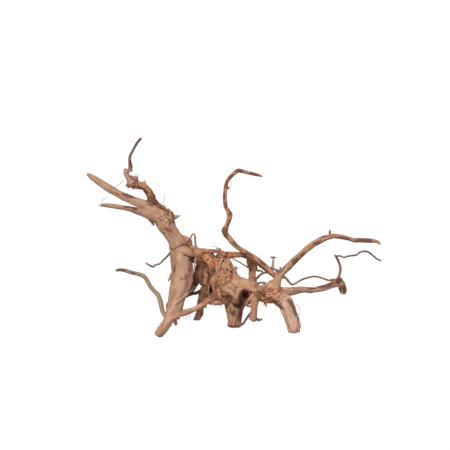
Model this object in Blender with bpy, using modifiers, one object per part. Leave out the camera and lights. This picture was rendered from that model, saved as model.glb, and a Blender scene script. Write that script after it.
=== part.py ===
"""Grapevine wood: one gnarled piece of root wood, as sold for tanks and displays.

The whole piece grew as one body, so it is one object. Thick limbs are fluted
tubes that flow into each other, thin twigs are slim tubes rooted deep in them,
and four feet are cut flat where the piece stands. Lengths are in millimetres
until the meshes are made.
"""

import math
import random

import bmesh
import bpy
import numpy as np
from mathutils import Matrix

NAME = "grapevine_wood"
MM = 0.001
SEED = 11

# Driving sizes
TRUNK_RADIUS = 13.2             # the thick left leg, half way up
FOOT_LEVEL = 0.0                # every foot is cut off at this height
GROUND_SIZE = 600.0             # the block that cuts the feet
HOLLOW_PLACE = (11, -9, 40.5)   # the hollow beside the middle leg: x, depth y, z
HOLLOW_RADII = (6.2, 15, 7.2)

# The raised cords round a thick limb; the lengths are shares of the limb's radius
CORD_COUNT = 5
CORD_OFFSET = 0.56              # from the limb's axis to a cord's
CORD_RADIUS = 0.47
CORD_SWELL = 0.12               # how much a cord thickens and thins along its way
CORD_WANDER = 0.25              # how far it strays sideways, in radians
CORE_RADIUS = 0.93              # the limb itself, between its cords

# How finely the skin is made
BODY_TRIANGLES = 6600           # the thick body, before the twigs are joined to it
BODY_VOXEL = 0.9                # grain of the skin drawn over the thick limbs
BODY_STEP = 2.5                 # spacing of the sections along a thick limb
TWIG_STEP = 8.0                 # spacing of the sections along a twig
STOUT_TWIG = 2.2                # from this radius on, a twig has eight sides and not six
SMOOTHING_PASSES = 7
SMALLEST_EDGE = 0.02
WELD_DISTANCE = 0.01
SHARP_ANGLE = math.radians(50)

# The routes are read from the front, by someone who looks slightly down on the
# piece: x and z are taken on the upright plane y = 0 and the point then lies on
# the same line of sight, at its own depth y
EYE_DISTANCE = 1800.0
EYE_PITCH = math.radians(11)
AIM_X, AIM_Z = -12.5, 132.5
EYE = np.array([AIM_X, -EYE_DISTANCE * math.cos(EYE_PITCH),
                AIM_Z + EYE_DISTANCE * math.sin(EYE_PITCH)])

# Moves the piece so that the middle of its footprint box is the origin
CENTRE_X, CENTRE_Y = -1.2, 5.5

BARK_COLOUR = (0.52, 0.33, 0.20, 1.0)

# Each limb is a list of (x, depth y, z, radius)
LIMBS = {
    "long_spike": [
        (-184, 28, 197.5, 1.8), (-176, 25, 191.5, 3.4), (-164, 20, 183.5, 4.4),
        (-152, 15, 176, 4.9), (-140, 9, 169.5, 5), (-128, 4, 164, 5.2),
        (-116, -1, 159, 6), (-104, -6, 153.5, 7.5), (-92, -9, 146, 9)],
    "short_spike": [
        (-169.5, -38, 157.5, 1.5), (-164, -36, 157.8, 2.2), (-156, -33, 157, 2.6),
        (-148, -30, 156, 2.8), (-140, -26, 154.8, 2.9), (-132, -22, 153.4, 3.2),
        (-124, -17, 151.2, 4), (-116, -13, 148.7, 5), (-106, -12, 146, 7),
        (-94, -11, 142, 9)],
    "gnarled_branch": [
        (-97, -3, 152, 7), (-102.5, 1, 161, 6.2), (-104.5, 4, 168, 5),
        (-108, 7, 175, 4.7), (-113, 9, 180.5, 4.6), (-119, 11, 183, 4.2),
        (-126, 12, 184.5, 6), (-130.5, 12, 185, 5.2)],
    "gnarled_tip": [
        (-127, 12, 184, 6), (-129, 12, 190, 4.8), (-133.8, 13, 194.5, 3.2),
        (-135.6, 13, 199.5, 2.9), (-136.4, 13, 204.6, 2.2)],
    "gnarled_lump": [(-127, 11, 185, 5), (-121.5, 11, 189, 3.6)],
    "trunk": [
        (-112, -8, 151, 8), (-99, -9, 148, 10.8), (-90, -10, 141, 12),
        (-87, -10, 133, 11), (-81.5, -10, 125, 9.7), (-76, -10, 117, 9.8),
        (-71, -10, 108.5, 11.4), (-68, -11, 100, 12.6),
        (-67.3, -13, 86.5, TRUNK_RADIUS), (-66.8, -17, 70.4, TRUNK_RADIUS),
        (-69.5, -21, 54, 12.8), (-72, -25, 43.5, 11.2), (-74, -29, 32.5, 10.2),
        (-77, -33, 21.5, 9.4), (-83.5, -38, 10.5, 6.8), (-90.5, -42, 0, 5.8),
        (-99, -45, -11, 5.2)],
    "neck_top": [(-90, -9, 147.5, 9), (-84, -9, 145, 8.2), (-81, -9, 138, 6)],
    "shoulder_top": [(-71, -9, 111, 8), (-63, -9, 112.5, 6.6), (-56.5, -9, 109, 6.4)],
    "shoulder": [
        (-66, -11, 101, 10), (-57, -10, 97, 9.5), (-48, -8, 93.5, 9),
        (-39, -6, 91, 9), (-30, -5, 89, 9)],
    "crown_middle": [
        (-28, -4, 90, 8.5), (-26, -3, 80, 12.5), (-24, -2, 68, 15),
        (-22, -2, 56, 14.5), (-20, -3, 46, 12.5), (-20, -4, 39, 8)],
    "crown_front": [
        (-26, -7, 86, 9), (-21, -10, 74, 13), (-16, -10, 62, 14), (-9, -9, 53, 12),
        (1, -9, 53, 9), (10, -9, 55, 7.5)],
    "crown_left": [
        (-40, -8, 92, 7), (-35, -10, 82, 6.5), (-33, -11, 70, 6),
        (-32, -11, 58, 5.5), (-29.5, -12, 47, 5.5), (-27, -12, 37, 5.5)],
    "shoulder_cord": [
        (-56, -16, 97, 5), (-48, -16, 95, 5.5), (-40, -16, 92, 6), (-32, -18, 84, 5.5),
        (-28, -19, 72, 5), (-26, -20, 60, 5), (-23, -19, 48, 5), (-21, -17, 38, 5)],
    "middle_cord": [
        (-16, -12, 90, 4.5), (-17, -17, 78, 5), (-16, -19, 66, 5), (-12, -19, 55, 5),
        (-5, -18, 45, 4.5)],
    "saddle_cord": [
        (-15, -12, 84, 5), (-9, -16, 74, 5), (1, -17, 64, 4.8), (13, -16, 57, 4.8),
        (26, -16, 52.5, 5.3), (40, -14, 48, 6), (55, -11, 43.5, 6.5)],
    "lip": [
        (-27, -15, 56, 4.5), (-20, -18, 49, 4.4), (-12, -20, 44.5, 4), (-4, -20, 39.5, 3.6),
        (1, -19, 38.5, 3.3), (6, -19, 43, 3.5), (11, -19, 50.5, 4), (18, -18, 52.5, 4.5),
        (26, -16, 53, 5)],
    "skirt": [
        (-38, -9, 35, 4.5), (-30, -9, 35, 5), (-22, -8, 35, 5.5), (-14, -5, 38, 7),
        (-6, 0, 38, 8)],
    "recess_back": [(4, 12, 40, 9), (13, 12, 38.5, 9.5), (22, 9, 40.5, 9)],
    "crown_right": [
        (-14, -2, 91, 6.5), (-13, -3, 82, 8), (-9, -4, 73, 9.5),
        (-1, -6, 63.5, 9), (9, -8, 56, 7.6), (20, -10, 53, 8.5),
        (32, -9, 47, 10.5), (44, -8, 43.5, 11.5), (55, -7, 44, 11)],
    "crown_back": [
        (-30, 14, 84, 7), (-24, 18, 72, 10), (-16, 19, 61, 10.5),
        (-4, 17, 53, 9.5), (9, 14, 55, 7.5), (22, 12, 52, 8.5),
        (36, 9, 47, 9.5), (48, 4, 46, 9), (58, 1, 46.5, 6)],
    "crown_foot": [(-34, 10, 66, 7.5), (-26, 12, 52, 9), (-14, 8, 42, 9)],
    "crown_side": [
        (-39, 0, 86, 5), (-39.5, 3, 78, 5.5), (-40.5, 5, 70, 6), (-41, 8, 63, 5.5),
        (-40, 12, 55, 5)],
    "back_cord_left": [
        (-36, 12, 86, 5.5), (-31, 21, 72, 6), (-30, 25, 58, 5.5), (-37, 25, 44, 5),
        (-42, 28, 30, 4.5)],
    "back_cord_right": [
        (-12, 16, 86, 5), (-7, 23, 72, 5.5), (4, 22, 60, 6), (18, 19, 54, 6),
        (34, 15, 48, 6.5), (48, 8, 43, 7), (59, 0, 37, 7), (66, -7, 28, 6.5)],
    "ledge": [
        (-48, -5, 97, 6.5), (-38, -3, 95, 6), (-29, -3, 88, 6),
        (-18, -3, 92.5, 5), (-10, -2, 94, 4.6), (0, 0, 94.5, 3.7),
        (10, 2, 94, 3.2), (18, 3, 91, 3.2), (26, 2, 86, 3.2), (33, 1, 81, 3.1),
        (40, 0, 75.5, 3), (47, -2, 71, 3.2), (53, -3, 67, 4)],
    "post": [
        (18, 10, 91, 4), (21, 12, 84, 5.8), (23, 13, 79, 5.8), (22, 13, 70, 4.4),
        (22, 10, 62, 5), (22, 6, 55, 6)],
    "hub": [
        (44, -6, 46, 10), (49.5, -6, 55, 8), (53, -5, 62, 6.6),
        (56, -4, 68, 5.4), (60, -5, 71.5, 4.6)],
    "long_branch": [
        (56, -4, 67, 5.2), (62, -6, 73.5, 4.5), (68, -8, 80, 4.3),
        (75, -12, 87, 4.1), (82, -16, 94, 3.8), (90, -20, 101.5, 3.8),
        (99, -24, 108.3, 3.8), (108, -28, 113.5, 3.5), (116, -31, 117, 3.1),
        (124, -33, 118.5, 2.9), (133, -34, 117.5, 2.6)],
    "right_branch": [
        (52, -4, 46, 8), (60, 0, 46.5, 5.8), (69, 4, 46.8, 5.2),
        (77, 9, 47.8, 4.5), (86, 14, 49, 3.9), (96.5, 19, 48.4, 3.6),
        (105, 23, 49.6, 3.7), (115.5, 27, 52.6, 4), (123, 30, 56, 4.4),
        (131, 32, 59, 5.2)],
    "right_stub": [
        (131, 32, 60, 5.2), (134.5, 34, 54, 4.6), (136.7, 36, 48, 3.8),
        (137.3, 36, 45.5, 3.2)],
    "right_leg": [
        (52, -7, 43, 11), (58, -9, 37.5, 10.2), (64, -12, 30.5, 9.6),
        (68.5, -15, 22.5, 9.1), (71.5, -17, 14, 8.7), (73.5, -19, 6, 8.3),
        (74.7, -20, -2, 8.1), (75.3, -20, -8, 8)],
    "middle_leg": [
        (-1, 6, 46, 12), (0, 6, 37, 12.6), (-0.8, 5, 29, 12.2),
        (-0.5, 5, 22, 10), (0, 6, 14, 8.7), (-0.2, 7, 7, 8.3),
        (-0.8, 7, 1, 8.5), (-0.8, 7, -4, 8.5)],
    "front_stub": [
        (22.5, -14, 47, 7), (22.8, -19, 40, 5.7), (23.5, -22, 33, 5.1),
        (24.5, -24, 26, 4.7), (23.7, -25, 18, 4.6), (23.2, -25, 12, 4.7),
        (23.3, -25, 10, 4.4)],
    "back_leg": [
        (-28, 6, 64, 8), (-33, 10, 54, 7.5), (-38, 15, 46, 6.8),
        (-41, 21, 38, 6), (-42.8, 26, 30, 5.4), (-44.6, 33, 20, 4.9),
        (-47, 37, 14.5, 4.4), (-48.7, 39, 9, 4), (-49.2, 40, 4, 3.9)],
    "rear_root": [
        (-40, 6, 88, 6), (-43.5, 9, 77, 5.6), (-46, 10, 68, 6.3),
        (-50, 9, 61, 6), (-55.5, 4, 53.5, 5.5), (-61, -4, 46, 6)],
    "low_root": [
        (-78, -33, 14.5, 5), (-72, -31, 17, 4.2), (-65, -29, 19, 4),
        (-58, -26, 20.5, 4), (-50, -22, 24.5, 3.6), (-42.5, -18, 29.3, 3.8),
        (-36, -15, 34, 4.6), (-28, -12, 38, 6)],
    "trunk_ridge": [(-84, -24, 33, 2.5), (-84.5, -27, 26, 2.8), (-84, -31, 19, 2.5)],
}

# Limbs with raised cords, and how far the cords turn along them, in turns
FLUTED = {
    "trunk": 0.55, "shoulder": 0.2, "crown_middle": 0.25, "crown_right": 0.3,
    "right_leg": 0.25, "middle_leg": 0.15, "long_spike": 0.2, "hub": 0.1,
    "right_branch": 0.4,
}

# Thin parts, joined to the body afterwards
TWIGS = {
    "s_branch": [
        (33.3, 26, 194.3, 1.3), (30, 25, 195.4, 1.8), (25, 23, 196.7, 2.1),
        (20, 21, 198, 2.1), (14.5, 18, 199.2, 2.3), (5, 13, 201.4, 2.6),
        (1, 11, 200, 2.4), (-3.6, 8, 195.8, 2.4), (-7.8, 5, 191.1, 2.3),
        (-10.4, 2, 186.4, 2.2), (-11.6, -1, 180, 2.4), (-12.7, -5, 170.5, 2.4),
        (-12.6, -8, 162, 2.5), (-11.3, -10, 155.5, 2.5), (-8.6, -12, 150.3, 2.7),
        (-6.8, -12, 146.3, 3.4), (-7.1, -13, 142.5, 3.1), (-8.4, -13, 137, 2.6),
        (-10.8, -14, 130.8, 2.9), (-12.8, -14, 126, 4), (-11.6, -14, 121.5, 3.7),
        (-8.6, -13, 117.4, 3.4), (-1, -12, 108, 3.2), (10.4, -10, 99.3, 3.2),
        (23, -8, 91.4, 3.2), (34.5, -6, 83, 3.1), (46, -4, 72.5, 3),
        (54, -4, 66, 3.2)],
    "s_knob_top": [(5, 13, 200.5, 2), (5.3, 13, 204.3, 1.2)],
    "s_knob_side": [(-11, -1, 180.5, 1.8), (-6.6, -1, 178.6, 1.1)],
    "s_knuckle": [(-8, -12, 144, 2.6), (-4, -13, 147.5, 1.8)],
    "long_branch_tip": [
        (124, -33, 118.5, 2.4), (133, -34, 117.5, 2.6), (142, -34, 115.3, 2.4),
        (150, -33, 113.2, 2.5), (158, -31, 113, 2.6), (166, -29, 112.8, 2.6),
        (174, -26, 112.2, 2.2), (180, -23, 110.5, 1.5), (182.6, -22, 106.8, 1)],
    "thorn_right": [(119, -31.5, 118, 1.7), (119, -32, 126.5, 1)],
    "loop_twig": [
        (57, -5, 66, 2), (64, -2, 64.5, 1.4), (69.7, 2, 57.5, 1.3),
        (74, 5, 56.3, 1.3), (82.8, 10, 61.3, 1.2), (89, 13, 64, 1.2),
        (95.5, 17, 65.8, 1.2), (101.7, 20, 66.3, 1.2), (110, 24, 64.3, 1.2),
        (118.5, 28, 61.3, 1.2), (123, 30, 62, 1.5), (130, 32, 60, 2)],
    "rising_twig": [
        (130.8, 32, 60, 2.6), (130.8, 32, 65, 1.8), (132.5, 31, 71, 1.7),
        (133, 29, 76, 1.7), (132.3, 27, 80, 1.6), (131, 25, 84.5, 1.5),
        (128.5, 22, 89.5, 1.5), (125.2, 19, 94.8, 1.1)],
    "wavy_twig": [
        (126.8, 20.5, 92.3, 1.3), (132, 18, 92.9, 1.1), (137.2, 15, 91, 1.1),
        (142.3, 13, 92.6, 1.1), (152.8, 9, 94.2, 1.1), (156.8, 7, 97.5, 1.1),
        (163, 4, 98.9, 1.1), (168.3, 2, 97.5, 1.1), (173.5, 0, 93.4, 1.1),
        (178.7, -2, 89, 1.1), (185, -4, 86.4, 0.9)],
    "left_root": [
        (-150.5, 22, 74.3, 1.8), (-143.7, 19, 75, 2.1), (-137.5, 16, 73.7, 2.3),
        (-130, 12, 71.3, 2.4), (-122.8, 8, 69.7, 2.4), (-117.5, 5, 67.8, 2.5),
        (-113.3, 2, 65, 2.5), (-110.2, -1, 59.8, 2.5), (-106.6, -5, 53.2, 2.5),
        (-101.9, -8, 47.8, 2.6), (-97.2, -12, 42.3, 2.8), (-94.7, -15, 35.9, 2.9),
        (-93.2, -19, 28.3, 2.8), (-91.7, -23, 21.8, 2.6), (-88.5, -28, 16, 2.6),
        (-82, -34, 12, 3)],
    "zigzag_twig": [
        (-112.6, -24, 84, 1), (-108, -23, 81.2, 1.1), (-103.3, -21, 79, 1.3),
        (-100, -20, 81.4, 1.1), (-94.9, -18, 82.8, 1.1), (-90, -16, 87.5, 1.1),
        (-85.5, -14, 92, 1.3), (-80, -12, 97.5, 1.6), (-72, -12, 100, 1.8)],
    "dark_twig": [
        (-68, -14, 38, 2.4), (-61, -8, 41, 1.9), (-55, -2, 43.5, 1.9),
        (-49.5, 4, 45, 1.9), (-44, 10, 47, 2), (-38, 12, 49, 2.4)],
    "upper_twig": [
        (-135, 13, 198.5, 2), (-131.5, 13, 202, 2.6), (-130, 13, 205.5, 2.7),
        (-130.3, 13, 210, 2.2), (-130.9, 13, 215.5, 1.6), (-129.8, 14, 221, 1.5),
        (-127, 15, 226, 1.5), (-124.2, 16, 231.3, 1.5), (-121, 17, 236.6, 1.5),
        (-116, 18.5, 242.3, 1.3)],
    "upper_twig_heel": [(-131.5, 13, 202.3, 2), (-126.6, 13, 201.3, 1.4)],
    "branch_bump": [(-112, 9, 182, 3), (-113.5, 9, 187.8, 1.3)],
    "lump_tag": [(-130, 12, 183, 3), (-137, 12, 182, 1.4)],
    "neck_thorn": [(-78, -6, 141.5, 3.5), (-74, -4, 143, 2.6), (-69, -2, 144.3, 1.3)],
    "neck_rootlets": [
        (-97, -10, 154.5, 2.2), (-92.5, -12, 157, 1.3), (-88.5, -14, 156.5, 1.2),
        (-86, -14, 153, 1.8)],
    "neck_flake": [(-98, -14, 141, 3), (-103, -17, 136, 2.4), (-102, -18, 132, 1.2)],
    "neck_flake_small": [(-100, -14, 141, 2.5), (-108.5, -15, 137, 1)],
    "wrap_root": [
        (-80, -17, 102.5, 1.4), (-71.5, -22, 105.5, 1.5), (-62.6, -20, 110.8, 1.5),
        (-56.4, -12, 114.8, 1.3), (-54.5, -9, 119, 1.1), (-52.4, -8, 121, 1.1),
        (-50.2, -8, 119, 1.1), (-50, -9, 112, 1.1), (-49, -10, 104, 1.5)],
    "cross_root": [
        (-73, -23, 97, 1.4), (-66, -24, 94.5, 1.9), (-58, -22, 90.5, 1.9),
        (-51, -20, 89, 1.8), (-43, -19, 89.5, 1.6)],
    "hanging_strand": [
        (-50, -17, 92, 1.4), (-51.2, -15, 85, 1.1), (-53, -12, 79.5, 1.1),
        (-57, -10, 73, 2)],
    "trunk_strand": [
        (-52, 4, 52, 1.4), (-57, -8, 47, 1.2), (-63, -15, 41.4, 1.2),
        (-69.3, -32, 36, 1.3), (-75, -38, 30.5, 1.4)],
    "trunk_flake": [(-78, -18, 68, 2.5), (-82.5, -20, 63.5, 1.8), (-85, -20, 60.3, 0.9)],
    "low_stub": [(-77, -33, 14, 3.6), (-75.5, -33, 8, 2.4), (-74.6, -33, 2.6, 1.4)],
    "low_stub_side": [(-73, -31, 15, 3), (-70.5, -31, 10.5, 1.2)],
    "crown_arch": [
        (-36, -8, 98.5, 2), (-29, -10, 100.3, 1.5), (-22, -10, 99.2, 1.4),
        (-15, -8, 96.5, 2.2)],
    "crown_spur": [(-17, -5, 95, 2.2), (-18.3, -4, 100, 1.4), (-20.3, -4, 103.2, 0.9)],
    "crown_tag": [(-42, -14, 31, 2.4), (-37.5, -16, 28, 2), (-36, -17, 24.8, 1.1)],
    "window_twig": [
        (-4, -8, 89.8, 1.4), (-1.7, -8, 89, 0.9), (5.6, -2, 85, 0.9),
        (12, 4, 80.8, 0.9), (18, 9, 77.5, 1.6)],
    "window_tooth": [(-7, -6, 77, 4), (-1, -6, 77.5, 2.6), (2.5, -6, 76, 1.4)],
    "hub_arch": [
        (23, 5, 60, 2.4), (27.5, 3, 64, 1.5), (31, 2, 67.7, 1.4), (35, 1, 70.5, 1.4),
        (40.5, 0, 71.5, 1.4), (45, -1, 69.3, 1.5), (51, -3, 65, 2.2)],
    "hub_curl": [
        (28, 8, 74, 1.3), (33, 4, 73.5, 1.1), (36, 1, 70.5, 1.2)],
    "saddle_stub": [(24, 0, 56.5, 2), (28.3, -3, 57.5, 1.3), (33.5, -6, 58.4, 1.2),
                    (39, -7, 58.2, 1.1)],
    "tee_stem": [(46, -4, 73, 2), (47.7, -4, 80, 1.6), (48.5, -4, 90.6, 1.2)],
    "tee_bar": [(44.8, -4, 91.4, 1), (51.6, -4, 90.6, 1.2)],
    "hub_twig": [(43, -5, 77.5, 2), (49.5, -5, 75.8, 1.4), (57, -5, 71.5, 2.2)],
    "hub_spur": [(57.5, -5, 72, 2), (57.2, -5, 78.8, 1)],
    "leg_twig": [
        (21, -22, 20, 2), (18, -19, 16, 1.5), (14, -13, 10.5, 1.4),
        (10.5, -9, 5, 1.4), (5, -8, 3.5, 2)],
    "stub_prong": [(23, -25, 12.5, 2.6), (29, -26, 10.8, 1.6), (34.8, -27, 10.2, 1.2)],
    "stub_knob": [(23, -22, 32, 3), (17, -20, 30.5, 2.6), (14, -18, 28, 1.6)],
    "saddle_tag": [(37, -9, 36, 3), (39.5, -12, 29, 1.6), (40.5, -13, 27.2, 1)],
    "foot_tag": [(78, -20, 1, 3), (84.5, -20, 0.5, 1.1)],
    "back_thorn": [(-26, 24, 62, 4), (-24, 34, 66, 2.2), (-23, 41, 72, 1.2)],
    "back_twig": [
        (-2, 22, 58, 4), (-7, 34, 63, 2.4), (-13, 43, 71, 1.9), (-15, 52, 80, 1.5),
        (-20, 60, 86, 1.2)],
    "back_root": [
        (-64, -2, 84, 4.5), (-66, 11, 79, 3), (-69, 23, 70, 2.4), (-71, 33, 59, 2.1),
        (-69, 42, 50, 1.8), (-72, 49, 43, 1.3)],
}

random.seed(SEED)


def seen(x, y, z):
    """Real place, in millimetres, of what is read at (x, z) from the front and lies at depth y."""
    on_plane = np.array([x, 0.0, z])
    return EYE + (on_plane - EYE) * (1 + y / -EYE[1])


def smooth_route(points, step):
    """Places and radii about one step apart, on a smooth curve through a limb's points."""
    knots = [np.append(seen(x, y, z), radius) for x, y, z, radius in points]
    knots = [2 * knots[0] - knots[1]] + knots + [2 * knots[-1] - knots[-2]]
    route = []
    for a, b, c, d in zip(knots, knots[1:], knots[2:], knots[3:]):
        pieces = max(1, round(float(np.linalg.norm((c - b)[:3])) / step))
        for t in np.arange(pieces) / pieces:
            route.append(0.5 * (2 * b + (c - a) * t + (2 * a - 5 * b + 4 * c - d) * t**2
                                + (3 * b - a - 3 * c + d) * t**3))
    route.append(knots[-2])
    return np.array(route)


def tube(name, route, bevel_resolution):
    """Closed mesh tube along a route of places and radii in millimetres."""
    curve = bpy.data.curves.new(name, "CURVE")
    curve.dimensions = "3D"
    curve.bevel_depth = MM
    curve.bevel_resolution = bevel_resolution
    curve.use_fill_caps = True
    spline = curve.splines.new("POLY")
    spline.points.add(len(route) - 1)
    for point, (x, y, z, radius) in zip(spline.points, route):
        point.co = (x * MM, y * MM, z * MM, 1.0)
        point.radius = radius
    guide = bpy.data.objects.new(name + "_curve", curve)
    bpy.context.scene.collection.objects.link(guide)
    depsgraph = bpy.context.evaluated_depsgraph_get()
    mesh = bpy.data.meshes.new_from_object(guide.evaluated_get(depsgraph))
    mesh.name = name
    shell = bmesh.new()
    shell.from_mesh(mesh)
    bmesh.ops.remove_doubles(shell, verts=shell.verts, dist=WELD_DISTANCE * MM)
    bmesh.ops.recalc_face_normals(shell, faces=shell.faces)
    shell.to_mesh(mesh)
    shell.free()
    result = bpy.data.objects.new(name, mesh)
    result.matrix_world = guide.matrix_world
    bpy.data.objects.remove(guide)
    bpy.data.curves.remove(curve)
    return result


def cords(route, turns):
    """Routes of the raised cords that wind round a fluted limb."""
    places, radii = route[:, :3], route[:, 3]
    along = np.gradient(places, axis=0)
    along /= np.linalg.norm(along, axis=1)[:, None]
    side = np.cross(along[0], (0.3, 1.0, 0.2))
    phase = random.uniform(0, 2 * math.pi)
    share = np.linspace(0, 1, len(route))
    sides = []
    for direction in along:
        side = side - direction * side.dot(direction)
        side /= np.linalg.norm(side)
        sides.append(side)
    sides = np.array(sides)
    others = np.cross(along, sides)
    routes = []
    for k in range(CORD_COUNT):
        stray = CORD_WANDER * np.sin(share * random.uniform(5, 11) + random.uniform(0, 6))
        angle = phase + 2 * math.pi * (k / CORD_COUNT + turns * share) + stray
        swell = 1 + CORD_SWELL * np.sin(share * random.uniform(6, 14) + random.uniform(0, 6))
        out = sides * np.cos(angle)[:, None] + others * np.sin(angle)[:, None]
        centre = places + out * (radii * CORD_OFFSET)[:, None]
        routes.append(np.column_stack([centre, radii * CORD_RADIUS * swell]))
    return routes


def apply_modifiers(target):
    """Makes an object's modifiers permanent."""
    depsgraph = bpy.context.evaluated_depsgraph_get()
    mesh = bpy.data.meshes.new_from_object(target.evaluated_get(depsgraph))
    target.modifiers.clear()
    target.data = mesh


def move_to(collection, target):
    """Takes an object out of its collections and puts it in another."""
    for other in list(target.users_collection):
        other.objects.unlink(target)
    collection.objects.link(target)


def keep_biggest_shell(mesh):
    """Drops scraps and the walls of sealed pockets, which leaves one closed skin."""
    shell = bmesh.new()
    shell.from_mesh(mesh)
    unseen = set(shell.verts)
    shells = []
    while unseen:
        start = unseen.pop()
        found, front = [start], [start]
        while front:
            vertex = front.pop()
            for edge in vertex.link_edges:
                other = edge.other_vert(vertex)
                if other in unseen:
                    unseen.remove(other)
                    found.append(other)
                    front.append(other)
        shells.append(found)
    shells.sort(key=len, reverse=True)
    spare = [vertex for found in shells[1:] for vertex in found]
    bmesh.ops.delete(shell, geom=spare, context="VERTS")
    bmesh.ops.triangulate(shell, faces=shell.faces)
    shell.to_mesh(mesh)
    shell.free()


def join(objects, name, collection):
    """One object that holds the meshes of several, which are removed."""
    merged = bmesh.new()
    for part in objects:
        merged.from_mesh(part.data)
    mesh = bpy.data.meshes.new(name)
    merged.to_mesh(mesh)
    merged.free()
    for part in objects:
        bpy.data.objects.remove(part)
    result = bpy.data.objects.new(name, mesh)
    collection.objects.link(result)
    return result


def make_body(collection):
    """The thick limbs, drawn into one smooth skin and then coarsened."""
    tubes = []
    for name, points in LIMBS.items():
        route = smooth_route(points, BODY_STEP)
        if name in FLUTED:
            for number, cord in enumerate(cords(route, FLUTED[name])):
                tubes.append(tube(f"{name}_cord_{number}", cord, 3))
            route = route * np.array([1, 1, 1, CORE_RADIUS])
        tubes.append(tube(name, route, 4))
    body = join(tubes, NAME, collection)
    skin = body.modifiers.new("Skin", "REMESH")
    skin.mode = "VOXEL"
    skin.voxel_size = BODY_VOXEL * MM
    soften = body.modifiers.new("Soften", "SMOOTH")
    soften.factor = 0.5
    soften.iterations = SMOOTHING_PASSES
    apply_modifiers(body)
    keep_biggest_shell(body.data)
    coarsen = body.modifiers.new("Coarsen", "DECIMATE")
    coarsen.ratio = BODY_TRIANGLES / len(body.data.polygons)
    apply_modifiers(body)
    return body


def join_twigs(body, collection):
    """Fuses the thin parts with the body."""
    for name, points in TWIGS.items():
        resolution = 2 if max(point[3] for point in points) > STOUT_TWIG else 1
        twig = tube(name, smooth_route(points, TWIG_STEP), resolution)
        twig.hide_render = True
        twig.display_type = "WIRE"
        collection.objects.link(twig)
    union = body.modifiers.new("Twigs", "BOOLEAN")
    union.operation = "UNION"
    union.operand_type = "COLLECTION"
    union.collection = collection
    union.solver = "EXACT"
    apply_modifiers(body)
    for twig in list(collection.objects):
        bpy.data.objects.remove(twig)


def hollow_out(body, collection):
    """Scoops the dark hollow beside the middle leg, under the saddle."""
    x, y, z = seen(*HOLLOW_PLACE)
    bpy.ops.mesh.primitive_uv_sphere_add(segments=12, ring_count=8, radius=MM,
                                         location=(x * MM, y * MM, z * MM))
    scoop = bpy.context.object
    scoop.name = "hollow_cutter"
    scoop.scale = HOLLOW_RADII
    scoop.hide_render = True
    scoop.display_type = "WIRE"
    move_to(collection, scoop)
    cut = body.modifiers.new("Hollow", "BOOLEAN")
    cut.operation = "DIFFERENCE"
    cut.object = scoop
    cut.solver = "EXACT"
    apply_modifiers(body)
    bpy.data.objects.remove(scoop)


def cut_feet(body, collection):
    """Cuts everything below the feet's level off, which leaves small flats to stand on."""
    middle = (FOOT_LEVEL - GROUND_SIZE / 2) * MM
    bpy.ops.mesh.primitive_cube_add(size=GROUND_SIZE * MM, location=(0, 0, middle))
    ground = bpy.context.object
    ground.name = "ground_cutter"
    ground.hide_render = True
    ground.display_type = "WIRE"
    move_to(collection, ground)
    cut = body.modifiers.new("Feet", "BOOLEAN")
    cut.operation = "DIFFERENCE"
    cut.object = ground
    cut.solver = "EXACT"
    apply_modifiers(body)


def tidy(body):
    """Merges needle-thin slivers and keeps one closed skin."""
    skin = bmesh.new()
    skin.from_mesh(body.data)
    bmesh.ops.triangulate(skin, faces=skin.faces)
    bmesh.ops.dissolve_degenerate(skin, edges=skin.edges, dist=SMALLEST_EDGE * MM)
    bmesh.ops.triangulate(skin, faces=skin.faces)
    skin.to_mesh(body.data)
    skin.free()
    keep_biggest_shell(body.data)


def wood_material():
    """Pale pinkish tan wood, dull."""
    material = bpy.data.materials.new("wood")
    material.use_nodes = True
    shader = material.node_tree.nodes["Principled BSDF"]
    shader.inputs["Base Color"].default_value = BARK_COLOUR
    shader.inputs["Roughness"].default_value = 0.8
    shader.inputs["Metallic"].default_value = 0.0
    return material


def main():
    for old in list(bpy.data.objects):
        bpy.data.objects.remove(old)
    parts = bpy.data.collections.new(NAME)
    cutters = bpy.data.collections.new("cutters")
    for collection in (parts, cutters):
        bpy.context.scene.collection.children.link(collection)
    body = make_body(parts)
    hollow_out(body, cutters)
    join_twigs(body, cutters)
    cut_feet(body, cutters)
    tidy(body)
    body.data.transform(Matrix.Translation((-CENTRE_X * MM, -CENTRE_Y * MM, 0)))
    body.data.materials.clear()
    body.data.materials.append(wood_material())
    body.data.shade_smooth()
    body.data.set_sharp_from_angle(angle=SHARP_ANGLE)


main()
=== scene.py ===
"""Grapevine wood, dressed for the picture.

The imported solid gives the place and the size. The wood is built again here along
the same routes, much finer: one skin over the thick limbs, with flutes, grain,
crevices, pits and bark left in patches, and thin twigs, loose bark and hair roots
as pieces of their own. Lengths are in millimetres until a mesh is made.
"""

import itertools
import math
import random

import bmesh
import bpy
import numpy as np
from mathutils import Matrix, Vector, kdtree
from mathutils.bvhtree import BVHTree


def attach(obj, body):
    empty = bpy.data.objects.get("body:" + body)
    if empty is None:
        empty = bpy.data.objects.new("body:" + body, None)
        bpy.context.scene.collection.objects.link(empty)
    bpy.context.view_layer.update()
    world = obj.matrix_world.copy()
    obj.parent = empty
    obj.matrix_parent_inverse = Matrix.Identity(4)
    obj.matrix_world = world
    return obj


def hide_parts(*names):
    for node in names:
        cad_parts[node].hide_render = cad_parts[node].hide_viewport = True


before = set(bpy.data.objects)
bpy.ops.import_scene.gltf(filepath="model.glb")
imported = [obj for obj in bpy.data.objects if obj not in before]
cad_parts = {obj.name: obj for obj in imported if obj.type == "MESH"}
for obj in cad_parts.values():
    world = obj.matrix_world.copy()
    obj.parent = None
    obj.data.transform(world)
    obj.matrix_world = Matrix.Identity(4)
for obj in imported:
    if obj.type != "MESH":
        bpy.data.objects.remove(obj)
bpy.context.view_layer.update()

NODE = "grapevine_wood"
MM = 0.001
SEED = 11

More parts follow.
